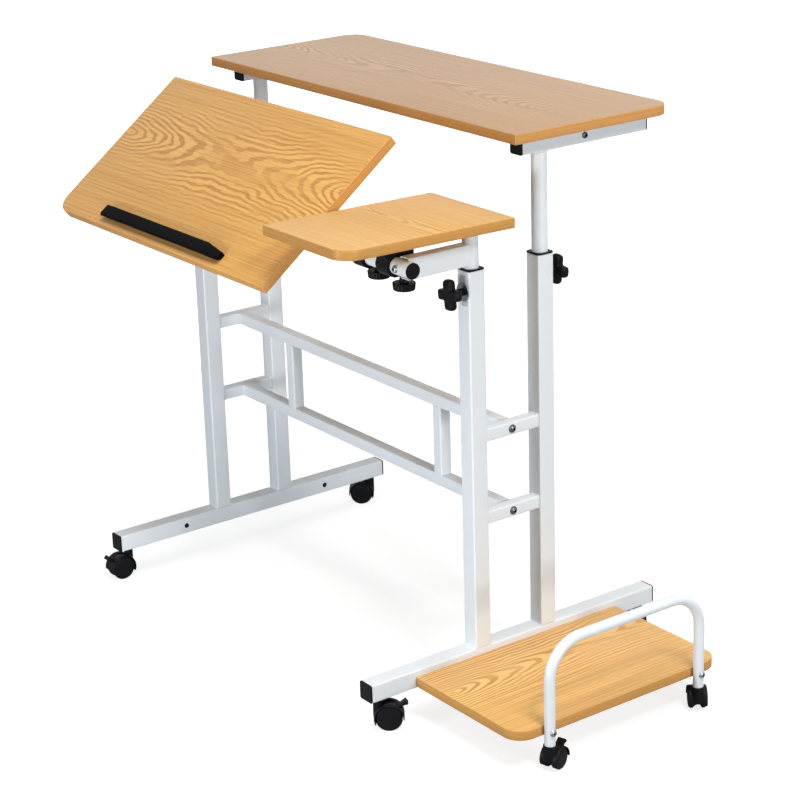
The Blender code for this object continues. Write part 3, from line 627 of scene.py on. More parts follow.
def draw_oak_figure(sketch: Sketch, given: dict[str, Socket]) -> dict[str, Socket]:
    """Draw growth rings that a plank cuts near the middle of a bowed log, with straight grain beside them.

    Args:
        sketch: Sketch of the group.
        given: Inputs of the group.

    Returns:
        What each output takes.
    """
    position = given["Position"]
    parts = sketch.add("SeparateXYZ")
    sketch.feed(parts.inputs[0], position)
    sway, ripple = sketch.grain(position, *SWAY), sketch.grain(position, *RIPPLE)
    streaks, fibre = sketch.grain(position, *STREAKS), sketch.grain(position, *FIBRE)
    pores = sketch.band(sketch.grain(position, *PORES), *OPEN_PORE)
    patch = sketch.band(sketch.grain(position, *PATCHES), *CLEAR_PATCH)
    along = sketch.math("SUBTRACT", parts.outputs["X"], given["Bow Middle"])
    bowed = sketch.math("MULTIPLY", sketch.math("MULTIPLY", along, along), given["Bow"])
    depth = sketch.math("SUBTRACT", given["Pith Depth"], bowed)
    drift = sketch.math("MULTIPLY", sketch.centred(sway), given["Wander"])
    across = sketch.math("SUBTRACT", sketch.math("ADD", parts.outputs["Y"], drift), given["Pith Line"])
    reach = sketch.math("SQRT", sketch.math("ADD", sketch.math("MULTIPLY", across, across),
                                            sketch.math("MULTIPLY", depth, depth)))
    shaken = sketch.math("MULTIPLY_ADD", sketch.centred(ripple), given["Ripple"], reach)
    turns = sketch.math("FRACT", sketch.math("DIVIDE", shaken, given["Ring Spacing"]))
    rings = sketch.math("SUBTRACT", sketch.band(turns, *EARLY_WOOD), sketch.band(turns, *LATE_WOOD))
    flame = sketch.band(sketch.math("ABSOLUTE", across), given["Flame"], FLAME_CORE)
    weight = sketch.math("MULTIPLY_ADD", sketch.math("MULTIPLY", flame, patch), RING_GAIN, RING_LEAST)
    ringed = sketch.math("MULTIPLY", sketch.centred(rings), weight)
    streaked = sketch.math("MULTIPLY", sketch.centred(streaks), STREAK_GAIN)
    share = sketch.math("ADD", sketch.math("ADD", ringed, streaked), NOISE_MIDDLE)
    held = sketch.math("MINIMUM", sketch.math("MAXIMUM", share, 0.0), 1.0)
    figured = sketch.mix(held, given["Dark"], given["Light"])
    threaded = sketch.mix(sketch.math("MULTIPLY", fibre, FIBRE_TINT), figured, given["Dark"])
    pored = sketch.mix(sketch.math("MULTIPLY", pores, given["Pore Share"]), threaded, given["Pore"])
    height = sketch.math("SUBTRACT", sketch.math("MULTIPLY", fibre, FIBRE_HEIGHT), pores)
    roughness = sketch.math("MULTIPLY_ADD", fibre, FIBRE_ROUGHNESS, LAMINATE_ROUGHNESS)
    return {"Color": pored, "Roughness": roughness, "Height": height}


# Waves per metre, octaves and weight of the clouds on a skin
CLOUD_WAVES = 14.0
CLOUD_ROUGHNESS = 0.22
SKIN_DETAIL = 2.0


def draw_fine_skin(sketch: Sketch, given: dict[str, Socket]) -> dict[str, Socket]:
    """Draw the fine skin of a sprayed or moulded surface, with broad and faint clouds over it.

    Args:
        sketch: Sketch of the group.
        given: Inputs of the group.

    Returns:
        What each output takes.
    """
    position = given["Position"]
    fine = sketch.noise(position, given["Scale"], SKIN_DETAIL)
    broad = sketch.noise(position, CLOUD_WAVES, SKIN_DETAIL)
    tint = sketch.mix(sketch.math("MULTIPLY", broad, given["Cloud"]), given["Base"], given["Shade"])
    roughness = sketch.math("MULTIPLY_ADD", sketch.centred(broad), CLOUD_ROUGHNESS, given["Roughness"])
    return {"Color": tint, "Roughness": roughness, "Height": fine}


# Noise that breaks up a rubbed edge, and the marks between which its masks rise
RUB_WAVES = 90.0
RUB_DETAIL = 3.0
EDGE_MARKS = (0.02, 0.22)
WORN_MARKS = (0.35, 0.75)


def draw_rubbed_edge(sketch: Sketch, given: dict[str, Socket]) -> dict[str, Socket]:
    """Draw a mask over edges that hands and handling rub, broken up by noise.

    Args:
        sketch: Sketch of the group.
        given: Inputs of the group.

    Returns:
        What each output takes.
    """
    bevel = sketch.add("Bevel", samples=4)
    sketch.feed(bevel.inputs["Radius"], given["Radius"])
    meet = sketch.add("VectorMath", operation="DOT_PRODUCT")
    sketch.feed(meet.inputs[0], bevel.outputs["Normal"])
    sketch.feed(meet.inputs[1], sketch.add("NewGeometry").outputs["Normal"])
    edge = sketch.band(sketch.math("SUBTRACT", 1.0, meet.outputs["Value"]), *EDGE_MARKS)
    worn = sketch.band(sketch.noise(given["Position"], RUB_WAVES, RUB_DETAIL), *WORN_MARKS)
    return {"Mask": sketch.math("MULTIPLY", sketch.math("MULTIPLY", edge, worn), given["Amount"])}


OAK_FIGURE = Effect(
    "oak_figure",
    {"Position": "vector", "Pith Line": "value", "Pith Depth": "value", "Bow": "value",
     "Bow Middle": "value", "Ring Spacing": "value", "Wander": "value", "Ripple": "value", "Flame": "value",
     "Light": "colour", "Dark": "colour", "Pore": "colour", "Pore Share": "value"},
    {"Color": "colour", "Roughness": "value", "Height": "value"}, draw_oak_figure)
FINE_SKIN = Effect(
    "fine_skin",
    {"Position": "vector", "Scale": "value", "Base": "colour", "Shade": "colour", "Cloud": "value",
     "Roughness": "value"},
    {"Color": "colour", "Roughness": "value", "Height": "value"}, draw_fine_skin)
RUBBED_EDGE = Effect(
    "rubbed_edge", {"Position": "vector", "Radius": "value", "Amount": "value"}, {"Mask": "value"},
    draw_rubbed_edge)


# Finishes

@dataclass(frozen=True)
class Finish:
    """Finish of a piece.

    Args:
        name: Name of the material.
        slot: Slot of the record that the finish belongs to, or none; not used.
    """

    name: str
    slot: str | None

    def material(self) -> bpy.types.Material:
        """Draw the material the first time that it is asked for.

        Returns:
            The material.
        """
        made = bpy.data.materials.get(self.name)
        if made is None:
            made = bpy.data.materials.new(self.name)
            made.use_nodes = True
            self.draw(Sketch(made.node_tree), made.node_tree.nodes["Principled BSDF"].inputs)
        return made

    def draw(self, sketch: Sketch, shader: bpy.types.NodeInputs) -> None:
        """Draw the nodes that feed the shader."""
        raise NotImplementedError

    @staticmethod
    def rub(sketch: Sketch, surface: dict[str, Socket], colour: Colour, edge: float, amount: float) -> None:
        """Blend a colour into a surface where its edges are rubbed.

        Args:
            sketch: Sketch of the material.
            surface: Colour, roughness and height of the surface.
            colour: Colour of a rubbed edge.
            edge: Width of a rubbed edge.
            amount: Share of its colour where it is rubbed most.
        """
        mask = RUBBED_EDGE.place(sketch, position=sketch.position(), radius=edge, amount=amount)["Mask"]
        surface["Color"] = sketch.mix(mask, surface["Color"], colour)

    @staticmethod
    def lay(sketch: Sketch, shader: bpy.types.NodeInputs, surface: dict[str, Socket], depth: float) -> None:
        """Feed a surface to the shader.

        Args:
            sketch: Sketch of the material.
            shader: Inputs of the shader.
            surface: Colour, roughness and height of the surface.
            depth: Depth of its relief.
        """
        sketch.feed(shader["Base Color"], surface["Color"])
        sketch.feed(shader["Roughness"], surface["Roughness"])
        sketch.feed(shader["Normal"], sketch.bump(surface["Height"], depth))


@dataclass(frozen=True)
class OakFace(Finish):
    """Oak-look laminate on the faces of a board.

    Args:
        light: Colour of the early wood.
        dark: Colour of the late wood.
        pore: Colour of the pores.
        grain_turn: Turn of the grain about Z; none runs it along X.
        shift: Place in the log that the board is cut from.
        pith_line: Where the middle of the log lies across the board.
        pith_depth: How deep it lies under the face.
        bow: How fast the log rises on both sides of its deepest point.
        bow_middle: Where along the board that point lies.
        ring_spacing: Distance from ring to ring.
        wander: How far the log strays from a straight line.
        ripple: How far the rings shake.
        flame: How far from the middle of the log the rings show clearly.
        pore_share: Share of the pores' colour.
        depth: Depth of the pores.
        shine: Share of the light that the laminate mirrors.
    """

    light: Colour = (0.895, 0.525, 0.155)
    dark: Colour = (0.555, 0.245, 0.051)
    pore: Colour = (0.360, 0.160, 0.040)
    grain_turn: float = 0.0
    shift: tuple[float, float, float] = (0.0, 0.0, 0.0)
    pith_line: float = 0.0
    pith_depth: float = 0.055
    bow: float = 0.60
    bow_middle: float = 0.0
    ring_spacing: float = 0.0050
    wander: float = 0.040
    ripple: float = 0.012
    flame: float = 0.095
    pore_share: float = 0.22
    depth: float = 0.00012
    shine: float = 0.30

    def draw(self, sketch: Sketch, shader: bpy.types.NodeInputs) -> None:
        """Draw the grain and a satin skin with pores pressed into it.

        Args:
            sketch: Sketch of the material.
            shader: Inputs of the shader.
        """
        mapping = sketch.add("Mapping")
        sketch.feed(mapping.inputs["Vector"], sketch.position())
        mapping.inputs["Rotation"].default_value = (0.0, 0.0, self.grain_turn)
        mapping.inputs["Location"].default_value = self.shift
        figure = OAK_FIGURE.place(sketch, position=mapping.outputs[0], **vars(self))
        self.lay(sketch, shader, figure, self.depth)
        shader["Specular IOR Level"].default_value = self.shine


@dataclass(frozen=True)
class OakEdge(OakFace):
    """Band round the edge of a board, with straight grain along the edge and its own values for the grain.

    Args:
        edge: Width of its rubbed corners.
        rubbed: Share of the light colour on them.
    """

    pith_line: float = 0.090
    pith_depth: float = 0.010
    bow: float = 0.0
    ring_spacing: float = 0.0048
    wander: float = 0.006
    ripple: float = 0.002
    pore_share: float = 0.15
    depth: float = 0.00008
    edge: float = 0.0012
    rubbed: float = 0.35

    def draw(self, sketch: Sketch, shader: bpy.types.NodeInputs) -> None:
        """Draw straight grain that runs along the edge, with rubbed corners.

        Args:
            sketch: Sketch of the material.
            shader: Inputs of the shader.
        """
        parts = sketch.add("SeparateXYZ")
        sketch.feed(parts.inputs[0], sketch.position())
        along = sketch.add("CombineXYZ")
        sketch.feed(along.inputs["X"], sketch.math("ADD", parts.outputs["X"], parts.outputs["Y"]))
        sketch.feed(along.inputs["Y"], parts.outputs["Z"])
        figure = OAK_FIGURE.place(sketch, position=along.outputs[0], **vars(self))
        self.rub(sketch, figure, self.light, self.edge, self.rubbed)
        self.lay(sketch, shader, figure, self.depth)
        shader["Specular IOR Level"].default_value = self.shine


@dataclass(frozen=True)
class Skin(Finish):
    """Skin of one colour, with a fine grain, faint clouds and rubbed edges.

    Args:
        base: Colour of the skin.
        shade: Colour of its clouds.
        rubbed: Colour of its rubbed edges.
        roughness: Roughness of the skin.
        cloud: Share of the clouds' colour.
        scale: Waves of the grain per metre.
        depth: Depth of the grain.
        edge: Width of a rubbed edge.
        amount: Share of its colour where it is rubbed most.
        metallic: One for bare metal.
        shine: Share of the light that the skin mirrors.
    """

    base: Colour
    shade: Colour
    rubbed: Colour
    roughness: float
    cloud: float
    scale: float
    depth: float
    edge: float
    amount: float
    metallic: float = 0.0
    shine: float = 0.5

    def draw(self, sketch: Sketch, shader: bpy.types.NodeInputs) -> None:
        """Draw the clouded grain and the rubbed edges.

        Args:
            sketch: Sketch of the material.
            shader: Inputs of the shader.
        """
        skin = FINE_SKIN.place(sketch, position=sketch.position(), **vars(self))
        self.rub(sketch, skin, self.rubbed, self.edge, self.amount)
        self.lay(sketch, shader, skin, self.depth)
        shader["Metallic"].default_value = self.metallic
        shader["Specular IOR Level"].default_value = self.shine


@dataclass(frozen=True)
class SprayedSteel(Skin):
    """White powder coat on steel: the skin's values for an orange peel and thin edges."""

    base: Colour = (0.800, 0.835, 0.860)
    shade: Colour = (0.760, 0.800, 0.835)
    rubbed: Colour = (0.560, 0.585, 0.610)
    roughness: float = 0.36
    cloud: float = 0.8
    scale: float = 620.0
    depth: float = 0.00006
    edge: float = 0.0010
    amount: float = 0.30


@dataclass(frozen=True)
class MouldedPlastic(Skin):
    """Black plastic: the skin's values for the face of a mould and edges that handling has polished."""

    base: Colour = (0.0048, 0.0048, 0.0056)
    shade: Colour = (0.00816, 0.00816, 0.00952)
    rubbed: Colour = (0.018, 0.018, 0.020)
    roughness: float = 0.40
    cloud: float = 0.9
    scale: float = 2200.0
    depth: float = 0.00005
    edge: float = 0.0012
    amount: float = 0.75
    shine: float = 0.10


@dataclass(frozen=True)
class ZincPlate(Skin):
    """Clouded zinc on bolts, screws and washers: the skin's values for bare metal."""

    base: Colour = (0.640, 0.650, 0.665)
    shade: Colour = (0.440, 0.450, 0.470)
    rubbed: Colour = (0.82, 0.83, 0.85)
    roughness: float = 0.30
    cloud: float = 0.9
    scale: float = 1500.0
    depth: float = 0.00004
    edge: float = 0.0006
    amount: float = 0.6
    metallic: float = 1.0


WHITE_STEEL = SprayedSteel("sprayed_white_steel", "white_steel")
BLACK_PLASTIC = MouldedPlastic("moulded_black_plastic", "black_plastic")
STOPPER_PLASTIC = MouldedPlastic(
    "moulded_stopper_plastic", "black_plastic", base=(0.0024, 0.0024, 0.0028),
    shade=(0.00408, 0.00408, 0.00476), roughness=0.50, shine=0.025)
WHEEL_PLASTIC = MouldedPlastic(
    "moulded_wheel_plastic", "wheel_plastic", base=(0.0060, 0.0060, 0.0070), shade=(0.0102, 0.0102, 0.0119),
    roughness=0.36)
ZINC = ZincPlate("bright_zinc", None)
BLUE_ZINC = ZincPlate("blue_zinc", None, base=(0.400, 0.450, 0.490), shade=(0.270, 0.310, 0.345))
DARK_ZINC = ZincPlate("dark_zinc", None, base=(0.200, 0.205, 0.215), shade=(0.110, 0.115, 0.125))
# Near black on the facets inside a driver recess: dirt there, and painted shade of the hollow.
RECESS_DIRT_AND_SHADE = ZincPlate("recess_dirt_and_painted_shade", None, base=(0.030, 0.030, 0.032), shade=(0.015, 0.015, 0.016))
OAK_BAND = OakEdge("oak_edge_band", "oak_laminate", light=(0.680, 0.350, 0.095), dark=(0.520, 0.245, 0.060))
SHELF_BAND = OakEdge(
    "shelf_edge_band", "shelf_laminate", light=(0.730, 0.365, 0.112), dark=(0.540, 0.250, 0.074))
TILT_FACE = OakFace(
    "oak_tilt_face", "oak_laminate", pith_line=0.026, bow_middle=0.018, ring_spacing=0.0068, wander=0.055,
    ripple=0.017, flame=0.110)
# Lighter and paler than the tilting board's laminate: painted light and sheen on the level side board.
SIDE_FACE_PAINTED_LIGHT = OakFace(
    "oak_side_face_painted_light", "oak_laminate", light=(0.930, 0.590, 0.222), dark=(0.700, 0.360, 0.102),
    shift=(2.40, 0.0, 0.0), pith_line=0.020, pith_depth=0.020, bow=0.15, bow_middle=2.60)
# Lighter early wood than the tilting board's: painted light on the level computer shelf.
CASE_FACE_PAINTED_LIGHT = OakFace(
    "oak_case_face_painted_light", "oak_laminate", light=(0.950, 0.600, 0.215), dark=(0.540, 0.245, 0.055),
    grain_turn=math.pi / 2, shift=(5.10, 0.0, 0.0), pith_line=-0.045, pith_depth=0.036, bow_middle=5.04,
    ring_spacing=0.0062, wander=0.050, flame=0.110)
# Paler, pinker laminate on the rear shelf's top: painted sheen of the white surroundings, on top of the real
# gloss that its shine gives.
SHELF_FACE_PAINTED_SHEEN = OakFace(
    "oak_shelf_face_painted_sheen", "shelf_laminate", light=(0.620, 0.390, 0.210), dark=(0.375, 0.205, 0.085),
    pore=(0.26, 0.135, 0.06), shift=(7.3, 0.0, 0.0), pith_line=-0.010, pith_depth=0.060, bow=0.35,
    bow_middle=7.25, shine=0.5)


# Pieces

def add_piece(name: str, mesh: Mesh, finishes: Sequence[Finish], body: str, place: Matrix | None = None,
              stands_for: Sequence[str] = (), smooth: float = SMOOTH_ANGLE) -> Piece:
    """Put a piece in the scene and hand it to the body that carries it.

    Args:
        name: Name of the piece.
        mesh: Its mesh, in its own frame.
        finishes: Finish of each of its material slots.
        body: Body that carries it.
        place: Matrix of its frame.
        stands_for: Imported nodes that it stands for.
        smooth: Largest angle between faces that are shaded as one.

    Returns:
        The piece.
    """
    mesh.name = name
    mesh.shade_smooth()
    mesh.set_sharp_from_angle(angle=smooth)
    for finish in finishes:
        mesh.materials.append(finish.material())
    piece = bpy.data.objects.new(name, mesh)
    bpy.context.scene.collection.objects.link(piece)
    piece.matrix_world = place or Matrix()
    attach(piece, body)
    if stands_for:
        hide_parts(*stands_for)
    log.info("%s on %s", name, body)
    return piece


def polished_node(node: str, finish: Finish, ease: float) -> None:
    """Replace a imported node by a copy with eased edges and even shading.

    Args:
        node: Name of the node.
        finish: Finish of the copy.
        ease: Width of the round along its sharp edges.
    """
    work = bmesh.new()
    work.from_mesh(frame["nodes"][node].data)
    bmesh.ops.remove_doubles(work, verts=work.verts, dist=SAME_POINT)
    bmesh.ops.dissolve_limit(work, angle_limit=FLAT_ANGLE, verts=work.verts, edges=work.edges)
    piece = add_piece(f"{node}_skin", settled(work), [finish], body_of(node), stands_for=[node],
                      smooth=SHARP_ANGLE)
    bevel = piece.modifiers.new("ease", "BEVEL")
    bevel.width = ease
    bevel.segments = 2
    bevel.limit_method = "ANGLE"
    bevel.angle_limit = SHARP_ANGLE
    even = piece.modifiers.new("even", "WEIGHTED_NORMAL")
    even.keep_sharp = True


# Sub-assemblies

@dataclass
class Boards:
    """Four laminated boards with an edge band each.

    Args:
        round_corner: Radius of a corner that hands meet.
        sharp_corner: Radius of a corner beside another piece.
        ease: Radius along the edges.
        corner_steps: Segments of a corner.
        ease_steps: Segments of the round along the edges.
        face_level: How level a facet is that takes the finish of the face.
        tilt: Angle of the tilting board.
        side_tilt: Angle of the side board.
    """

    round_corner: float = 0.030
    sharp_corner: float = 0.002
    ease: float = 0.0008
    corner_steps: int = 14
    ease_steps: int = 3
    face_level: float = 0.9
    tilt: float = math.radians(37.3)
    side_tilt: float = math.radians(-1.0)

    def mesh(self, low: Vector, high: Vector, round_corners: Sequence[bool]) -> Mesh:
        """Build a board whose edges take its second finish.

        Args:
            low: Lowest corner in the board's frame.
            high: Highest corner.
            round_corners: Whether the front left, front right, back right and back left corner is round.

        Returns:
            The mesh.
        """
        radii = [self.round_corner if soft else self.sharp_corner for soft in round_corners]
        steps = range(self.ease_steps + 1)
        rings = []
        for level, upward in ((low.z, 1), (high.z, -1)):
            for i in steps[::upward]:
                angle = i / self.ease_steps * math.pi / 2
                inset = self.ease * (1 - math.sin(angle))
                rise = upward * self.ease * (1 - math.cos(angle))
                corners = [max(radius - inset, self.sharp_corner / 2) for radius in radii]
                outline = rounded_rectangle((low.x + inset, low.y + inset), (high.x - inset, high.y - inset),
                                            corners, self.corner_steps)
                rings.append(ring(outline, level + rise))
        mesh = loft(rings)
        for face in mesh.polygons:
            face.material_index = 0 if abs(face.normal.z) > self.face_level else 1
        return mesh

    def add(self, node: str, tilt: float, round_corners: Sequence[bool], face: Finish, band: Finish) -> None:
        """Build one board about its middle and let it stand for its node.

        Args:
            node: Name of the node.
            tilt: Angle of the board about X.
            round_corners: Whether the front left, front right, back right and back left corner is round.
            face: Finish of its faces.
            band: Finish of its edges.
        """
        turn = Matrix.Rotation(tilt, 4, "X")
        low, high = local_box(node, turn)
        middle = (low + high) / 2
        mesh = self.mesh(low - middle, high - middle, round_corners)
        place = turn @ Matrix.Translation(middle)
        add_piece(f"{node}_laminate", mesh, [face, band], body_of(node), place, [node])

    def build(self) -> None:
        """Build all four boards, each with its own cut of the grain."""
        self.add("tilt_board", self.tilt, (True, False, False, False), TILT_FACE, OAK_BAND)
        self.add("side_board", self.side_tilt, (False, True, False, False), SIDE_FACE_PAINTED_LIGHT, OAK_BAND)
        self.add("case_shelf_board", 0.0, (False, True, True, False), CASE_FACE_PAINTED_LIGHT, OAK_BAND)
        self.add("rear_shelf_board", 0.0, (False, False, True, True), SHELF_FACE_PAINTED_SHEEN, SHELF_BAND)


@dataclass
class SteelFrame:
    """White tubes and posts, with the weld beads that join them.

    Args:
        ease: Round along the cut ends of the tubes.
        stub_width: Width of the stubs, rails and struts.
        leg_width: Width of the legs.
        post_radius: Radius of the posts.
        cross_height: Height of the cross tubes under the shelf.
        bead: Radius of a weld bead.
        bead_points: Points round the section of a bead.
        round_steps: Steps of a bead round a tube.
        round_ripples: Share of its radius and number of each ripple on it.
        square: Squareness of a square tube.
        circular: Squareness of a round tube.
        line_steps: Steps of a straight bead.
        line_ripple: Share of its radius and turn from step to step of the ripple on it.
        line_taper: Share of its radius that each step adds at its ends.
        line_inset: Distance of its ends from the corners of the leg.
        nodes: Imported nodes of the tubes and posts.
    """

    ease: float = 0.0003
    stub_width: float = 0.020
    leg_width: float = 0.0285
    post_radius: float = 0.012
    cross_height: float = 0.024
    bead: float = 0.0014
    bead_points: int = 8
    round_steps: int = 72
    round_ripples: tuple[tuple[float, int], ...] = ((0.16, 11), (0.08, 5))
    square: float = 7.0
    circular: float = 2.0
    line_steps: int = 22
    line_ripple: Point = (0.14, 2.4)
    line_taper: float = 0.25
    line_inset: float = 0.002
    nodes: tuple[str, ...] = (
        "left_foot", "right_foot", "left_front_leg", "left_rear_leg", "right_front_leg", "right_rear_leg",
        "back_frame", "left_shelf_bracket", "right_shelf_bracket", "left_desk_bracket", "right_desk_bracket",
        "pivot_tube")

    def bead_round(self, centre: Vector, facing: Vector, half: float, squareness: float) -> Mesh:
        """Build a rippled bead round a tube.

        Args:
            centre: Middle of the joint.
            facing: Direction of the tube, along an axis.
            half: Half of the tube's width.
            squareness: Two for a round tube; the higher, the squarer.

        Returns:
            The mesh.
        """
        place = aimed(centre, facing)
        route, radii = [], []
        for i in range(self.round_steps):
            angle = 2 * math.pi * i / self.round_steps
            x, y = math.cos(angle), math.sin(angle)
            reach = half / (abs(x) ** squareness + abs(y) ** squareness) ** (1 / squareness)
            route.append(place @ Vector((reach * x, reach * y, 0.0)))
            ripple = sum(share * math.sin(number * angle) for share, number in self.round_ripples)
            radii.append(self.bead * (1 + ripple))
        return swept(route, facing, radii, closed=True, count=self.bead_points)

    def bead_line(self, start: Vector, end: Vector) -> Mesh:
        """Build a rippled bead in a straight line, drawn in at its ends.

        Args:
            start: Start of the bead.
            end: End of the bead.

        Returns:
            The mesh.
        """
        share, turn = self.line_ripple
        route, radii = [], []
        for i in range(self.line_steps + 1):
            taper = min(1.0, self.line_taper * (1 + min(i, self.line_steps - i)))
            route.append(start.lerp(end, i / self.line_steps))
            radii.append(self.bead * taper * (1 + share * math.sin(turn * i)))
        return swept(route, UP, radii, closed=False, count=self.bead_points)

    def build(self) -> None:
        """Polish the tubes and lay the beads."""
        for node in self.nodes:
            polished_node(node, WHITE_STEEL, self.ease)
        self.build_base_beads()
        self.build_shelf_beads()

    def build_base_beads(self) -> None:
        """Lay the beads where legs meet feet and stubs meet legs."""
        beads = []
        half_leg, half_stub = self.leg_width / 2, self.stub_width / 2
        span = RIGHT * (half_leg - self.line_inset)
        frame_low, frame_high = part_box("back_frame")
        heights = (frame_high.z - half_stub, frame_low.z + half_stub)
        for side in Side:
            foot_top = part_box(f"{side.value}_foot")[1].z
            x = middle_of(f"{side.value}_foot").x
            front_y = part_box(f"{side.value}_front_leg")[0].y + half_leg
            rear_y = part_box(f"{side.value}_rear_leg")[0].y + half_leg
            for leg_y in (front_y, rear_y):
                for face in (-1, 1):
                    middle = Vector((x, leg_y + face * half_leg, foot_top))
                    beads.append(self.bead_line(middle - span, middle + span))
            for height in heights:
                for y in (front_y + half_leg, rear_y - half_leg):
                    beads.append(self.bead_round(Vector((x, y, height)), AWAY, half_stub, self.square))
        add_piece("base_weld_beads", joined(beads), [WHITE_STEEL], "base")

    def build_shelf_beads(self) -> None:
        """Lay the beads where the rear posts meet the cross tubes."""
        beads = []
        for side in Side:
            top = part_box(f"{side.value}_shelf_bracket")[1].z
            leg = middle_of(f"{side.value}_rear_leg")
            centre = Vector((leg.x, leg.y, top - self.cross_height))
            beads.append(self.bead_round(centre, UP, self.post_radius, self.circular))
        add_piece("shelf_weld_beads", joined(beads), [WHITE_STEEL], "rear_shelf")


@dataclass
class PlasticFittings:
    """Black caps, bushings, plugs, clamps, brake levers and the stopper.

    Args:
        small_ease: Round along the edges of thin fittings.
        large_ease: Round along the edges of thick ones.
        thin: Thin fittings.
        thick: Thick fittings.
    """

    small_ease: float = 0.0004
    large_ease: float = 0.0009
    thin: tuple[str, ...] = (
        "left_front_bushing", "left_rear_bushing", "right_front_bushing", "right_rear_bushing",
        "left_front_foot_cap", "left_rear_foot_cap", "right_front_foot_cap", "right_rear_foot_cap",
        "left_shelf_bracket_front_cap", "left_shelf_bracket_rear_cap", "right_shelf_bracket_front_cap",
        "right_shelf_bracket_rear_cap", "left_pivot_plug", "right_pivot_plug", "left_front_caster_brake",
        "right_front_caster_brake", "hoop_front_caster_brake")
    thick: tuple[str, ...] = (
        "tilt_clamp_left", "tilt_clamp_right", "side_clamp_left", "side_clamp_right")

    def build(self) -> None:
        """Polish all fittings."""
        for node in self.thin:
            polished_node(node, BLACK_PLASTIC, self.small_ease)
        for node in self.thick:
            polished_node(node, BLACK_PLASTIC, self.large_ease)
        polished_node("stopper_ledge", STOPPER_PLASTIC, self.large_ease)


@dataclass
class StarKnobs:
    """Four star knobs that lock the posts, with a washer under each front one.

    Args:
        diameter: Diameter over the lobes.
        valley: Diameter between the lobes.
        lobe_width: Width of a lobe.
        thickness: Thickness of the head.
        hub: Diameter of the hub.
        standoff: Distance of the hub from the leg.
        stem: Diameter of the screw stem.
        stem_edge: Round between the stem, the hub and the head.
        lobes: Number of lobes.
        turn: Turn of the lobes about the screw.
        lobe_round: Share of a lobe's reach that its round edge takes.
        round_steps: Segments of half of that round.
        root: Share of the head's reach at which it leaves the hub.
        root_span: Share over which the valleys reach their depth.
        face: Share of the head's reach that the ring inside its face takes.
        dish: Share of the reach and depth of the dish in its middle.
        points: Points round the head.
        washer: Diameter of the washer.
        washer_thickness: Thickness of the washer.
        washer_gap: Room between the washer and the stem.
        washer_points: Points round the washer.
    """

    diameter: float = 0.046
    valley: float = 0.024
    lobe_width: float = 0.0155
    thickness: float = 0.012
    hub: float = 0.0115
    standoff: float = 0.002
    stem: float = 0.008
    stem_edge: float = 0.0006
    lobes: int = 4
    turn: float = math.radians(6)
    lobe_round: float = 0.15
    round_steps: int = 6
    root: float = 0.35
    root_span: float = 0.5
    face: float = 0.30
    dish: Point = (0.02, 0.0006)
    points: int = 96
    washer: float = 0.028
    washer_thickness: float = 0.0016
    washer_gap: float = 0.0003
    washer_points: int = 48

    def mesh(self, reach: float, depth: float) -> Mesh:
        """Build a knob along Z.

        Args:
            reach: Distance of its face from the leg.
            depth: How far its stem enters the leg.

        Returns:
            The mesh.
        """
        start = reach - self.thickness
        middle, half = reach - self.thickness / 2, self.thickness / 2
        rim = [(self.root, start)]
        for i in range(2 * self.round_steps + 1):
            angle = (i / self.round_steps - 1) * math.pi / 2
            rim.append((1 - self.lobe_round * (1 - math.cos(angle)), middle + half * math.sin(angle)))
        rim += [(self.face, reach), (self.dish[0], reach - self.dish[1])]
        shank = [(self.stem / 2, -depth), (self.stem / 2, self.standoff), (self.hub / 2, self.standoff),
                 (self.hub / 2, start)]
        rings = [ring(circle(radius, self.points), level) for radius, level in eased(shank, self.stem_edge)]
        for share, level in rim:
            full = min(1.0, max(0.0, (share - self.root) / self.root_span))
            tip = share * self.diameter / 2
            low = share * self.valley / 2 * full + share * self.hub * (1 - full)
            outline = crossed(tip, min(low, tip), share * self.lobe_width, self.lobes, self.points)
            rings.append(ring(outline, level))
        return loft(rings)

    def washer_mesh(self) -> Mesh:
        """Build a flat ring round the stem, with eased edges.

        Returns:
            The mesh.
        """
        inner, outer, top = self.stem / 2 + self.washer_gap, self.washer / 2, self.washer_thickness
        ease = top / 4
        profile = [(inner, 0.0), (outer - ease, 0.0), (outer, ease), (outer, top - ease),
                   (outer - ease, top), (inner, top)]
        rings = [ring(circle(radius, self.washer_points), level) for radius, level in profile]
        return loft(rings, closed=True)

    def build(self) -> None:
        """Build the knobs and the washers."""
        for side in Side:
            for row in Row:
                node = f"{side.value}_{row.value}_star_knob"
                face, outward = joint_place(f"{node}_turn")
                place = aimed(face, outward)
                low, high = local_box(node, place)
                add_piece(f"{node}_head", self.mesh(high.z, -low.z), [BLACK_PLASTIC], node,
                          place @ Matrix.Rotation(self.turn, 4, "Z"), [node])
                if row is Row.FRONT:
                    add_piece(f"{side.value}_knob_washer", self.washer_mesh(), [BLUE_ZINC], "base", place)


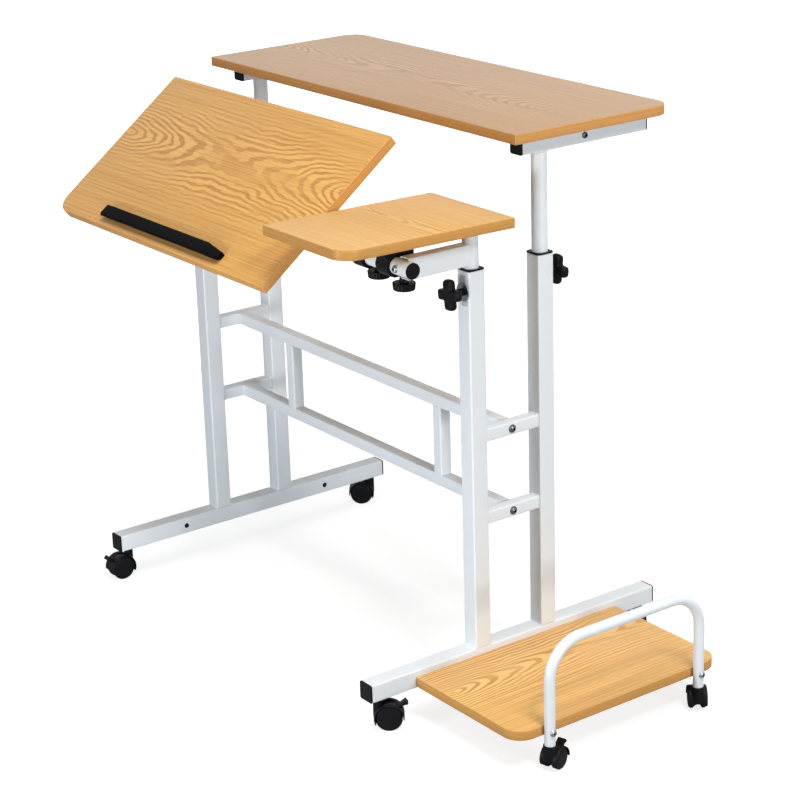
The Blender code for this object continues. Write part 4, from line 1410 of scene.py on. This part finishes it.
@dataclass
class ClampKnobs:
    """Thumb knobs of the tilt clamps.

    Args:
        flutes: Number of flutes round the rim.
        flute_depth: Depth of a flute.
        fluted_share: Share of the radius beyond which the disc is fluted.
        neck: Diameter of the neck.
        neck_flare: How much wider the neck is at the disc, on each side.
        neck_length: Most that the neck stands out of the disc.
        neck_gap: Room between the neck and the clamp.
        bolt: Diameter of the bolt.
        thickness: Thickness of the disc.
        taper: How much narrower the disc is below.
        dish: Depth of the dish under the disc.
        dish_shares: Shares of the radius at which the dish's slope starts and ends.
        middle: Radius of the small facet in the middle of the dish.
        edge: Round of the edges.
        edge_steps: Segments of that round.
        points: Points round the knob.
        groups: Boards whose clamps have a knob.
    """

    flutes: int = 24
    flute_depth: float = 0.0006
    fluted_share: float = 0.86
    neck: float = 0.012
    neck_flare: float = 0.001
    neck_length: float = 0.016
    neck_gap: float = 0.0003
    bolt: float = 0.006
    thickness: float = 0.011
    taper: float = 0.0012
    dish: float = 0.0008
    dish_shares: Point = (0.55, 0.62)
    middle: float = 0.0004
    edge: float = 0.0014
    edge_steps: int = 4
    points: int = 144
    groups: tuple[str, ...] = ("tilt", "side")

    def mesh(self, low: Vector, high: Vector, neck_top: float) -> Mesh:
        """Build a knob along Z, its disc below and its bolt above.

        Args:
            low: Lowest corner of its node.
            high: Highest corner.
            neck_top: Level at which the neck meets the clamp.

        Returns:
            The mesh.
        """
        radius = (high.x - low.x) / 2
        bottom, top = low.z, low.z + self.thickness
        inner, outer = (radius * share for share in self.dish_shares)
        corners = [(self.middle, bottom + self.dish), (inner, bottom + self.dish), (outer, bottom),
                   (radius - self.taper, bottom), (radius, top), (self.neck / 2 + self.neck_flare, top),
                   (self.neck / 2, neck_top), (self.bolt / 2, neck_top), (self.bolt / 2, high.z)]
        rings = []
        for reach, level in eased(corners, self.edge, self.edge_steps):
            on_rim = reach > radius * self.fluted_share and level < top + LEVEL_SLACK
            depth = self.flute_depth if on_rim else 0.0
            rings.append(ring(fluted(reach, reach - depth, self.flutes, self.points), level))
        return loft(rings)

    def build(self) -> None:
        """Build the four knobs."""
        for group in self.groups:
            for side in Side:
                clamp = f"{group}_clamp_{side.value}"
                node = f"{clamp}_knob"
                middle, downward = joint_place(f"{node}_turn")
                place = aimed(middle, -downward)
                low, high = local_box(node, place)
                lug = local_box(clamp, place)[0].z
                neck_top = min(lug - self.neck_gap, low.z + self.thickness + self.neck_length)
                mesh = self.mesh(low, high, neck_top)
                add_piece(f"{node}_head", mesh, [BLACK_PLASTIC], node, place, [node])


@dataclass
class CaseHoop:
    """Bent tube along the outer edge of the computer shelf.

    Args:
        tube: Diameter of the tube.
        bend: Radius of the bends.
        bend_steps: Segments of each bend.
        points: Points round the tube.
    """

    tube: float = 0.016
    bend: float = 0.055
    bend_steps: int = 18
    points: int = 32

    def build(self) -> None:
        """Build the hoop."""
        low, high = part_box("hoop")
        middle = (low + high) / 2
        radius = self.tube / 2
        front, _ = joint_place("hoop_front_caster_swivel")
        rear, _ = joint_place("hoop_rear_caster_swivel")
        top = high.z - radius
        route = [Vector((middle.x, rear.y, low.z))]
        for sign, y in ((1, rear.y), (-1, front.y)):
            bend = []
            for i in range(self.bend_steps + 1):
                angle = i / self.bend_steps * math.pi / 2
                across = y - sign * self.bend * (1 - math.cos(angle))
                bend.append(Vector((middle.x, across, top - self.bend * (1 - math.sin(angle)))))
            route += bend if sign > 0 else reversed(bend)
        route.append(Vector((middle.x, front.y, low.z)))
        mesh = swept(route, RIGHT, [radius] * len(route), closed=False, count=self.points)
        add_piece("hoop_tube", mesh, [WHITE_STEEL], "base", stands_for=["hoop"])


@dataclass
class Casters:
    """Six twin-wheel casters: hoods with necks, and wheel pairs.

    Args:
        wheel_width: Width of one wheel.
        web: Thickness of the web between the wheels.
        wall: Wall of the hood.
        clearance: Room round a wheel.
        tread: Width of a wheel's tread, at its outer side.
        tread_edge: How far the tread starts inside the wheel's outer side.
        shoulder: How far inside the tread and the outer side a wheel's shoulder lies.
        dome: Share of the radius and setback of points on a wheel's outer side.
        middle: Radius of the small facet in the middle of that side.
        notch: How far a wheel is coned in at its inner side.
        notch_edge: Width and height of the slope where the cone ends.
        wheel_round: Round of a wheel's edges.
        wheel_points: Points round a wheel.
        waist: How far the hood is drawn in between the wheels, in front.
        waist_share: Share of the hood's width that is drawn in.
        waist_start: Angle where the hood starts to be drawn in.
        waist_rise: Angle over which it reaches the full waist.
        hood_side: How far the hood passes the wheels.
        hood_steps: Steps of the hood round its axle.
        side_steps: Steps from the middle of the hood to its side.
        crown: Squareness of the hood's section.
        axle: Diameter of the axle.
        axle_gap: Room between the axle and the web.
        leading_edge: Angle of the hood's edge in front, above the trailing direction.
        trailing_edge: Angle of its edge behind.
        stem: Diameter of the swivel stem.
        slot_low: Lower angle of the slot for the brake lever.
        slot_high: Upper angle of that slot.
        slot_half: Half of its width.
        slot_reach: How far its cutter passes the inside and the outside of the hood.
        foot_neck: Diameter of the neck under a foot.
        hoop_neck: Diameter of the neck under the hoop.
        neck_gap: Room between the neck and the tube above it.
        neck_edge: Round of the neck's edge.
        neck_points: Points round the neck.
        braked: Casters that have a brake lever.
        names: All casters.
    """

    wheel_width: float = 0.0105
    web: float = 0.005
    wall: float = 0.002
    clearance: float = 0.0008
    tread: float = 0.0068
    tread_edge: float = 0.0030
    shoulder: Point = (0.0022, 0.0008)
    dome: tuple[Point, ...] = ((0.62, 0.0002), (0.78, 0.0006))
    middle: float = 0.0004
    notch: float = 0.0052
    notch_edge: Point = (0.0012, 0.0006)
    wheel_round: float = 0.0007
    wheel_points: int = 72
    waist: float = 0.0042
    waist_share: float = 0.50
    waist_start: float = math.radians(60)
    waist_rise: float = math.radians(50)
    hood_side: float = 0.0005
    hood_steps: int = 64
    side_steps: int = 12
    crown: int = 6
    axle: float = 0.006
    axle_gap: float = 0.00025
    leading_edge: float = math.radians(203)
    trailing_edge: float = math.radians(-5)
    stem: float = 0.008
    slot_low: float = math.radians(33)
    slot_high: float = math.radians(63)
    slot_half: float = 0.0069
    slot_reach: Point = (0.0005, 0.004)
    foot_neck: float = 0.015
    hoop_neck: float = 0.020
    neck_gap: float = 0.0003
    neck_edge: float = 0.0008
    neck_points: int = 40
    braked: tuple[str, ...] = ("left_front", "right_front", "hoop_front")
    names: tuple[str, ...] = (
        "left_front", "left_rear", "right_front", "right_rear", "hoop_front", "hoop_rear")

    def wheel_mesh(self, radius: float) -> Mesh:
        """Build both wheels on their axle, along X.

        Args:
            radius: Radius of the wheels.

        Returns:
            The mesh.
        """
        inner = self.web / 2 + self.clearance
        outer = inner + self.wheel_width
        cone = radius - self.notch
        half = [(self.middle, outer)]
        half += [(radius * share, outer - setback) for share, setback in self.dome]
        half += [(radius - self.shoulder[0], outer - self.shoulder[1]), (radius, outer - self.tread_edge),
                 (radius, outer - self.tread), (cone, inner + self.notch_edge[1]),
                 (cone - self.notch_edge[0], inner), (self.axle / 2, inner)]
        profile = half + [(reach, -level) for reach, level in reversed(half)]
        pair = turned(eased(profile, self.wheel_round), self.wheel_points)
        return put(pair, Matrix.Rotation(math.pi / 2, 4, "Y"))

    def hood_mesh(self, trail: float, radius: float, neck: float, neck_top: float, stem_top: float,
                  braked: bool) -> Mesh:
        """Build a hood with its neck, in a frame with the swivel axis at its origin and the wheels along +Y.

        Args:
            trail: Distance of the axle behind the swivel axis.
            radius: Radius of the wheels.
            neck: Diameter of the neck.
            neck_top: Level of the neck's top.
            stem_top: Level of the stem's top.
            braked: Whether the hood has a slot for a brake lever.

        Returns:
            The mesh.
        """
        inside = radius + self.clearance
        outside = inside + self.wall
        half = self.web / 2 + self.clearance + self.wheel_width + self.hood_side
        web, bore = self.web / 2, self.axle / 2 + self.axle_gap
        rings = []
        for i in range(self.hood_steps + 1):
            angle = self.trailing_edge + i / self.hood_steps * (self.leading_edge - self.trailing_edge)
            waist = self.waist * min(1.0, max(0.0, (angle - self.waist_start) / self.waist_rise))
            outer, inner = [], []
            for k in range(2 * self.side_steps + 1):
                share = math.sin((k / self.side_steps - 1) * math.pi / 2)
                crown = self.wall * (1 - abs(share) ** self.crown) ** (1 / self.crown)
                drawn = waist * max(0.0, 1 - (share / self.waist_share) ** 2)
                outer.append((half * share, inside + crown - drawn))
                if 0 < k < 2 * self.side_steps and abs(half * share) > web:
                    inner.append((half * share, inside - drawn))
            drawn = waist * (1 - (web / half / self.waist_share) ** 2)
            flange = [(web, inside - drawn), (web, bore), (-web, bore), (-web, inside - drawn)]
            inner.reverse()
            split = len(inner) // 2
            section = outer + inner[:split] + flange + inner[split:]
            cos, sin = math.cos(angle), math.sin(angle)
            rings.append([Vector((u, trail + r * cos, radius + r * sin)) for u, r in section])
        shell = loft(rings)
        if braked:
            shell = carved(shell, self.slot_mesh(trail, radius, inside, outside))
        corners = [(neck / 2, radius), (neck / 2, neck_top), (self.stem / 2, neck_top),
                   (self.stem / 2, stem_top)]
        post = turned(eased(corners, self.neck_edge), self.neck_points)
        room = []
        bowl = circle(inside, self.hood_steps)
        for sign in (-1, 1):
            levels = (sign * web, sign * 2 * half)
            rings = [[Vector((level, trail + a, radius + b)) for a, b in bowl] for level in levels]
            room.append(loft(rings))
        return joined([shell, carved(post, joined(room))])

    def slot_mesh(self, trail: float, radius: float, inside: float, outside: float) -> Mesh:
        """Build the cutter for the slot of the brake lever.

        Args:
            trail: Distance of the axle behind the swivel axis.
            radius: Radius of the wheels.
            inside: Radius of the hood's inside.
            outside: Radius of its outside.

        Returns:
            The mesh.
        """
        inner, outer = inside - self.slot_reach[0], outside + self.slot_reach[1]
        corners = ((inner, self.slot_low), (inner, self.slot_high), (outer, self.slot_high),
                   (outer, self.slot_low))
        rings = []
        for level in (-self.slot_half, self.slot_half):
            rings.append([Vector((level, trail + reach * math.cos(angle), radius + reach * math.sin(angle)))
                          for reach, angle in corners])
        return loft(rings)

    def build(self) -> None:
        """Build all casters where their joints lie."""
        foot_low, hoop_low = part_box("left_foot")[0].z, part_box("hoop")[0].z
        for name in self.names:
            hood, wheels = f"{name}_caster_hood", f"{name}_caster_wheels"
            swivel, _ = joint_place(f"{name}_caster_swivel")
            axle, across = joint_place(f"{name}_caster_roll")
            trail = (axle - swivel).to_2d().length
            place = aimed(swivel, UP, across)
            is_hoop = name.startswith("hoop")
            neck = self.hoop_neck if is_hoop else self.foot_neck
            neck_top = (hoop_low if is_hoop else foot_low) - self.neck_gap
            mesh = self.hood_mesh(trail, axle.z, neck, neck_top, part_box(hood)[1].z, name in self.braked)
            add_piece(f"{hood}_shell", mesh, [BLACK_PLASTIC], hood, place, [hood])
            add_piece(f"{wheels}_pair", self.wheel_mesh(axle.z), [WHEEL_PLASTIC], wheels,
                      aimed(axle, UP, across), [wheels])


@dataclass
class Fasteners:
    """Bolts and screws that hold the frame, the hoop and the boards.

    Args:
        bolt: Diameter of a bolt's head.
        screw: Diameter of a screw's head.
        hoop_screw: Diameter of the head of a screw in the hoop.
        washer: Diameter of a bolt's washer.
        pivot_inset: Distance of the pivot tube's screws from its ends.
        cross_reach: Distance of the cross tubes' bolts behind the posts.
        cross_drop: Depth of those bolts below the top of the tubes.
        stub_half: Half of a stub's width.
        cross_half: Half of a cross tube's width.
        hoop_sink: How far the head of a hoop's screw is sunk into the tube.
        hole_spacing: Distance between a foot's screw holes.
        plug: Diameter of a foot's plugs.
        plug_levels: Height of a plug at its rim, its shoulder and its middle.
        plug_middle: Radius of the small facet in its middle.
        plug_edge: Round of its edges.
        plug_points: Points round it.
        washer_thickness: Thickness of a bolt's washer.
        head_height: Height of a head, as a share of its diameter.
        head_side: Share of its height that is straight.
        shoulder: Shares of its radius and height at the shoulder.
        top: Share of its radius that is flat on top.
        head_edge: Round of its edges.
        head_edge_steps: Segments of that round.
        head_points: Points round a head.
        recess: Half width of the recess, as a share of the radius.
        recess_floor: Level of its floor, as a share of the height.
        recess_limit: Shares of the radius and height within which a facet is part of the recess.
        cross_arm: Half width of a cross recess's arm, as a share of its reach.
    """

    bolt: float = 0.0100
    screw: float = 0.0090
    hoop_screw: float = 0.0105
    washer: float = 0.0130
    pivot_inset: float = 0.0240
    cross_reach: float = 0.0752
    cross_drop: float = 0.012
    stub_half: float = 0.010
    cross_half: float = 0.013
    hoop_sink: float = 0.0006
    hole_spacing: float = 0.290
    plug: float = 0.0085
    plug_levels: tuple[float, float, float] = (0.0005, 0.0012, 0.0014)
    plug_middle: float = 0.0003
    plug_edge: float = 0.0004
    plug_points: int = 40
    washer_thickness: float = 0.0010
    head_height: float = 0.34
    head_side: float = 0.3
    shoulder: Point = (0.84, 0.72)
    top: float = 0.58
    head_edge: float = 0.0006
    head_edge_steps: int = 2
    head_points: int = 48
    recess: float = 0.46
    recess_floor: float = 0.35
    recess_limit: Point = (0.57, 0.99)
    cross_arm: float = 0.32

    def recess_reach(self, recess: Recess, size: float, angle: float) -> float:
        """Find the edge of a driver recess in one direction.

        Args:
            recess: Kind of recess.
            size: Half of its width.
            angle: Direction from the middle.

        Returns:
            The distance of its edge from the middle.
        """
        if recess is Recess.HEX:
            part = math.pi / 3
            return size / math.cos((angle % part) - part / 2)
        arm = size * self.cross_arm
        cos, sin = max(abs(math.cos(angle)), NEARLY_ZERO), max(abs(math.sin(angle)), NEARLY_ZERO)
        return max(min(size / cos, arm / sin), min(arm / cos, size / sin))

    def head_mesh(self, diameter: float, recess: Recess, washer: float = 0.0) -> Mesh:
        """Build a domed head on its washer, along Z.

        Args:
            diameter: Diameter of the head.
            recess: Driver recess in it.
            washer: Diameter of the washer, or nothing.

        Returns:
            The mesh.
        """
        count, radius, height = self.head_points, diameter / 2, diameter * self.head_height
        base = self.washer_thickness if washer else 0.0
        top = base + height
        corners = [(washer / 2, 0.0), (washer / 2, base)] if washer else []
        corners += [(radius, base), (radius, base + height * self.head_side),
                    (radius * self.shoulder[0], base + height * self.shoulder[1]), (radius * self.top, top)]
        profile = eased(corners, self.head_edge, self.head_edge_steps)
        rings = [ring(circle(reach, count), level) for reach, level in profile]
        size = radius * self.recess
        edge = around([self.recess_reach(recess, size, 2 * math.pi * i / count) for i in range(count)])
        rings += [ring(edge, top), ring(edge, base + height * self.recess_floor)]
        mesh = loft(rings)
        widest, highest = radius * self.recess_limit[0], base + height * self.recess_limit[1]
        # Facets inside the recess take the second, near black finish: dirt and painted shade.
        for face in mesh.polygons:
            inward = face.center.xy.length < widest and 0 < face.center.z < highest
            face.material_index = 1 if inward else 0
        return mesh

    def build(self) -> None:
        """Put each fastener where the photo shows it, and the same ones on the other side."""
        frame_low, frame_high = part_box("back_frame")
        middle_y = (frame_low.y + frame_high.y) / 2
        heights = {"upper": frame_high.z - self.stub_half, "lower": frame_low.z + self.stub_half}
        pivot, _ = joint_place("tilt_desk_hinge")
        tube_low, tube_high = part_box("pivot_tube")
        for side in Side:
            outward = RIGHT * side.sign
            foot_x = middle_of(f"{side.value}_foot").x
            for level, height in heights.items():
                face = Vector((foot_x + side.sign * self.stub_half, middle_y, height))
                mesh = self.head_mesh(self.bolt, Recess.HEX, self.washer)
                add_piece(f"{side.value}_{level}_stub_bolt", mesh, [DARK_ZINC, RECESS_DIRT_AND_SHADE], "base",
                          aimed(face, outward, UP))
            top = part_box(f"{side.value}_shelf_bracket")[1].z
            post_y = middle_of(f"{side.value}_rear_leg").y
            face = Vector((foot_x + side.sign * self.cross_half, post_y + self.cross_reach,
                           top - self.cross_drop))
            add_piece(f"{side.value}_cross_bolt", self.head_mesh(self.bolt, Recess.HEX), [DARK_ZINC, RECESS_DIRT_AND_SHADE],
                      "rear_shelf", aimed(face, outward, UP))
            end = tube_high.x - self.pivot_inset if side is Side.RIGHT else tube_low.x + self.pivot_inset
            face = Vector((end, tube_low.y, pivot.z))
            add_piece(f"{side.value}_pivot_screw", self.head_mesh(self.hoop_screw, Recess.CROSS),
                      [BLUE_ZINC, RECESS_DIRT_AND_SHADE], "front_desk", aimed(face, -AWAY))
        self.build_hoop_screws()
        self.build_foot_plugs()

    def build_hoop_screws(self) -> None:
        """Screw the hoop to the edge of the computer shelf."""
        height = middle_of("case_shelf_board").z
        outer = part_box("hoop")[1].x
        for row in Row:
            swivel, _ = joint_place(f"hoop_{row.value}_caster_swivel")
            face = Vector((outer - self.hoop_sink, swivel.y, height))
            mesh = self.head_mesh(self.hoop_screw, Recess.CROSS)
            add_piece(f"hoop_{row.value}_screw", mesh, [BLUE_ZINC, RECESS_DIRT_AND_SHADE], "base", aimed(face, RIGHT, UP))

    def build_foot_plugs(self) -> None:
        """Close the left foot's screw holes by plugs, and screw the computer shelf to the right foot."""
        rim, shoulder, top = self.plug_levels
        corners = [(self.plug / 2, 0.0), (self.plug / 2, rim), (self.plug / 3, shoulder),
                   (self.plug_middle, top)]
        profile = eased(corners, self.plug_edge)
        for side in Side:
            low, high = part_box(f"{side.value}_foot")
            middle = (low + high) / 2
            for row, sign in ((Row.FRONT, -1), (Row.REAR, 1)):
                y = middle.y + sign * self.hole_spacing / 2
                name = f"{side.value}_{row.value}_foot"
                if side is Side.RIGHT:
                    mesh = self.head_mesh(self.screw, Recess.CROSS)
                    add_piece(f"{name}_screw", mesh, [ZINC, RECESS_DIRT_AND_SHADE], "base",
                              aimed(Vector((low.x, y, middle.z)), -RIGHT, UP))
                    continue
                for place, x, outward in (("inner", high.x, RIGHT), ("outer", low.x, -RIGHT)):
                    mesh = turned(profile, self.plug_points)
                    add_piece(f"{name}_{place}_plug", mesh, [BLACK_PLASTIC], "base",
                              aimed(Vector((x, y, middle.z)), outward, UP))


@dataclass(frozen=True)
class Lamp:
    """Soft box that faces the table.

    Args:
        name: Name of the lamp.
        place: Where it stands.
        target: Point that it faces.
        colour: Colour of its light.
        power: Power in watts.
        size: Width of the box.
        mirrored: Whether glossy surfaces mirror it.
    """

    name: str
    place: tuple[float, float, float]
    target: tuple[float, float, float]
    colour: Colour
    power: float
    size: float
    mirrored: bool = True

    def build(self) -> None:
        """Put the lamp in the scene."""
        light = bpy.data.lights.new(self.name, "AREA")
        light.color = self.colour
        light.energy = self.power
        light.size = self.size
        holder = bpy.data.objects.new(self.name, light)
        place, target = Vector(self.place), Vector(self.target)
        holder.matrix_world = aimed(place, place - target)
        holder.visible_glossy = self.mirrored
        bpy.context.scene.collection.objects.link(holder)


@dataclass
class Studio:
    """White studio with soft light, and the camera of the photo.

    Args:
        stand: Place of the camera from the floor point between the legs.
        turn: Direction of the camera about Z.
        dip: How far it looks down.
        roll: How far it leans.
        lens: Focal length.
        sensor: Width of the sensor.
        view_end: Distance at which the camera's view ends.
        floor_span: Width of the floor.
        floor_depth: Thickness of the floor.
        floor_steps: Segments of its corners.
        floor_tone: Share of the light that the floor throws back.
        floor_lift: Light that the camera alone sees on the floor.
        floor_fade: Distances between which the floor turns to plain white.
        floor_waves: Waves of the floor's clouds per metre.
        floor_cloud: How far the clouds change its tone.
        floor_roughness: Roughness of the floor.
        ambient: Strength of the surrounding light.
        ambient_tint: Colour of the surrounding light.
        lamps: Lamps of the studio.
    """

    stand: tuple[float, float, float] = (2.805969, -1.961763, 1.568527)
    turn: float = 0.944414
    dip: float = 0.340889
    roll: float = -0.031308
    lens: float = 101.886
    sensor: float = 36.0
    view_end: float = 200.0
    floor_span: float = 40.0
    floor_depth: float = 0.02
    floor_steps: int = 8
    floor_tone: float = 0.42
    floor_lift: float = 0.78
    floor_fade: Point = (1.2, 2.6)
    floor_waves: float = 0.8
    floor_cloud: float = 0.01
    floor_roughness: float = 0.9
    ambient: float = 0.07
    ambient_tint: Colour = (0.92, 0.96, 1.0)
    lamps: tuple[Lamp, ...] = (
        Lamp("key_lamp", (2.10, -0.40, 2.60), (0.1, 0.0, 0.30), (1.0, 0.985, 0.960), 26.0, 0.45),
        Lamp("top_lamp", (2.20, -1.00, 12.0), (0.0, 0.0, 0.45), (1.0, 0.990, 0.970), 1010.0, 6.0),
        Lamp("front_lamp", (0.262, -3.10, 0.40), (0.10, 0.0, 0.45), (0.92, 0.955, 1.0), 25.0, 0.15),
        Lamp("low_lamp", (0.15, -0.90, 0.25), (-0.45, 0.05, 0.30), (0.84, 0.92, 1.0), 3.4, 0.25),
        Lamp("fill_lamp", (7.00, 0.20, 1.15), (0.0, 0.0, 0.45), (0.93, 0.970, 1.0), 185.0, 1.2),
        Lamp("back_lamp", (-0.50, 5.00, 0.80), (0.0, 0.0, 0.45), (0.96, 0.98, 1.0), 75.0, 1.2, False),
        Lamp("left_lamp", (-5.00, 1.50, 0.80), (0.0, 0.0, 0.45), (0.96, 0.98, 1.0), 65.0, 1.2, False),
    )

    def build(self) -> None:
        """Build the floor, the world, the lamps and the camera."""
        scene = bpy.context.scene
        scene.view_settings.view_transform = "Standard"
        self.build_floor()
        self.build_world()
        for lamp in self.lamps:
            lamp.build()
        scene.camera = self.build_camera()

    def build_floor(self) -> None:
        """Lay a pale floor that keeps the table's shadow."""
        half = self.floor_span / 2
        outline = rounded_rectangle((-half, -half), (half, half), [half / 4] * 4, self.floor_steps)
        mesh = loft([ring(outline, -self.floor_depth), ring(outline, 0.0)])
        floor = bpy.data.objects.new("studio_floor", mesh)
        bpy.context.scene.collection.objects.link(floor)
        material = bpy.data.materials.new("studio_floor")
        material.use_nodes = True
        sketch = Sketch(material.node_tree)
        shader = material.node_tree.nodes["Principled BSDF"].inputs
        clouds = sketch.noise(sketch.position(), self.floor_waves, SKIN_DETAIL)
        low, high = self.floor_tone - self.floor_cloud, self.floor_tone + self.floor_cloud
        sketch.feed(shader["Base Color"], sketch.mix(clouds, (low, low, low), (high, high, high)))
        shader["Roughness"].default_value = self.floor_roughness
        shader["Specular IOR Level"].default_value = 0.0
        shader["Emission Color"].default_value = (1.0, 1.0, 1.0, 1.0)
        seen = sketch.add("LightPath").outputs["Is Camera Ray"]
        away = sketch.add("VectorMath", operation="LENGTH")
        sketch.feed(away.inputs[0], sketch.position())
        far = sketch.band(away.outputs["Value"], *self.floor_fade)
        lift = sketch.math("MULTIPLY_ADD", far, 1.0 - self.floor_lift, self.floor_lift)
        sketch.feed(shader["Emission Strength"], sketch.math("MULTIPLY", seen, lift))
        mesh.materials.append(material)

    def build_world(self) -> None:
        """Surround the table by white, with a plain level of light from all sides."""
        world = bpy.data.worlds.new("studio")
        world.use_nodes = True
        bpy.context.scene.world = world
        sketch = Sketch(world.node_tree)
        background = world.node_tree.nodes["Background"].inputs
        path = sketch.add("LightPath").outputs
        seen = sketch.math("MAXIMUM", path["Is Camera Ray"], path["Is Glossy Ray"])
        sketch.feed(background["Color"], sketch.mix(seen, self.ambient_tint, (1.0, 1.0, 1.0)))
        strength = sketch.math("MULTIPLY_ADD", seen, 1.0 - self.ambient, self.ambient)
        sketch.feed(background["Strength"], strength)

    def build_camera(self) -> Piece:
        """Set up the camera of the photo.

        Returns:
            The camera.
        """
        middle_x = (middle_of("left_foot").x + middle_of("right_foot").x) / 2
        middle_y = middle_of("back_frame").y
        back = Vector((math.sin(self.turn) * math.cos(self.dip), -math.cos(self.turn) * math.cos(self.dip),
                       math.sin(self.dip)))
        right = Vector((math.cos(self.turn), math.sin(self.turn), 0.0))
        up = back.cross(right)
        leaned = right * math.cos(self.roll) + up * math.sin(self.roll)
        place = Matrix((leaned, back.cross(leaned), back)).transposed().to_4x4()
        place.translation = Vector((middle_x, middle_y, 0.0)) + Vector(self.stand)
        lens = bpy.data.cameras.new("photo_camera")
        lens.lens = self.lens
        lens.sensor_width = self.sensor
        lens.clip_end = self.view_end
        camera = bpy.data.objects.new("photo_camera", lens)
        camera.matrix_world = place
        bpy.context.scene.collection.objects.link(camera)
        return camera


def main() -> None:
    """Build the studio and each sub-assembly."""
    logging.basicConfig(level=logging.INFO, format="%(message)s")
    for part in (Studio(), Boards(), SteelFrame(), PlasticFittings(), StarKnobs(), ClampKnobs(), CaseHoop(),
                 Casters(), Fasteners()):
        log.info("%s", type(part).__name__)
        part.build()


if __name__ == "__main__":
    main()
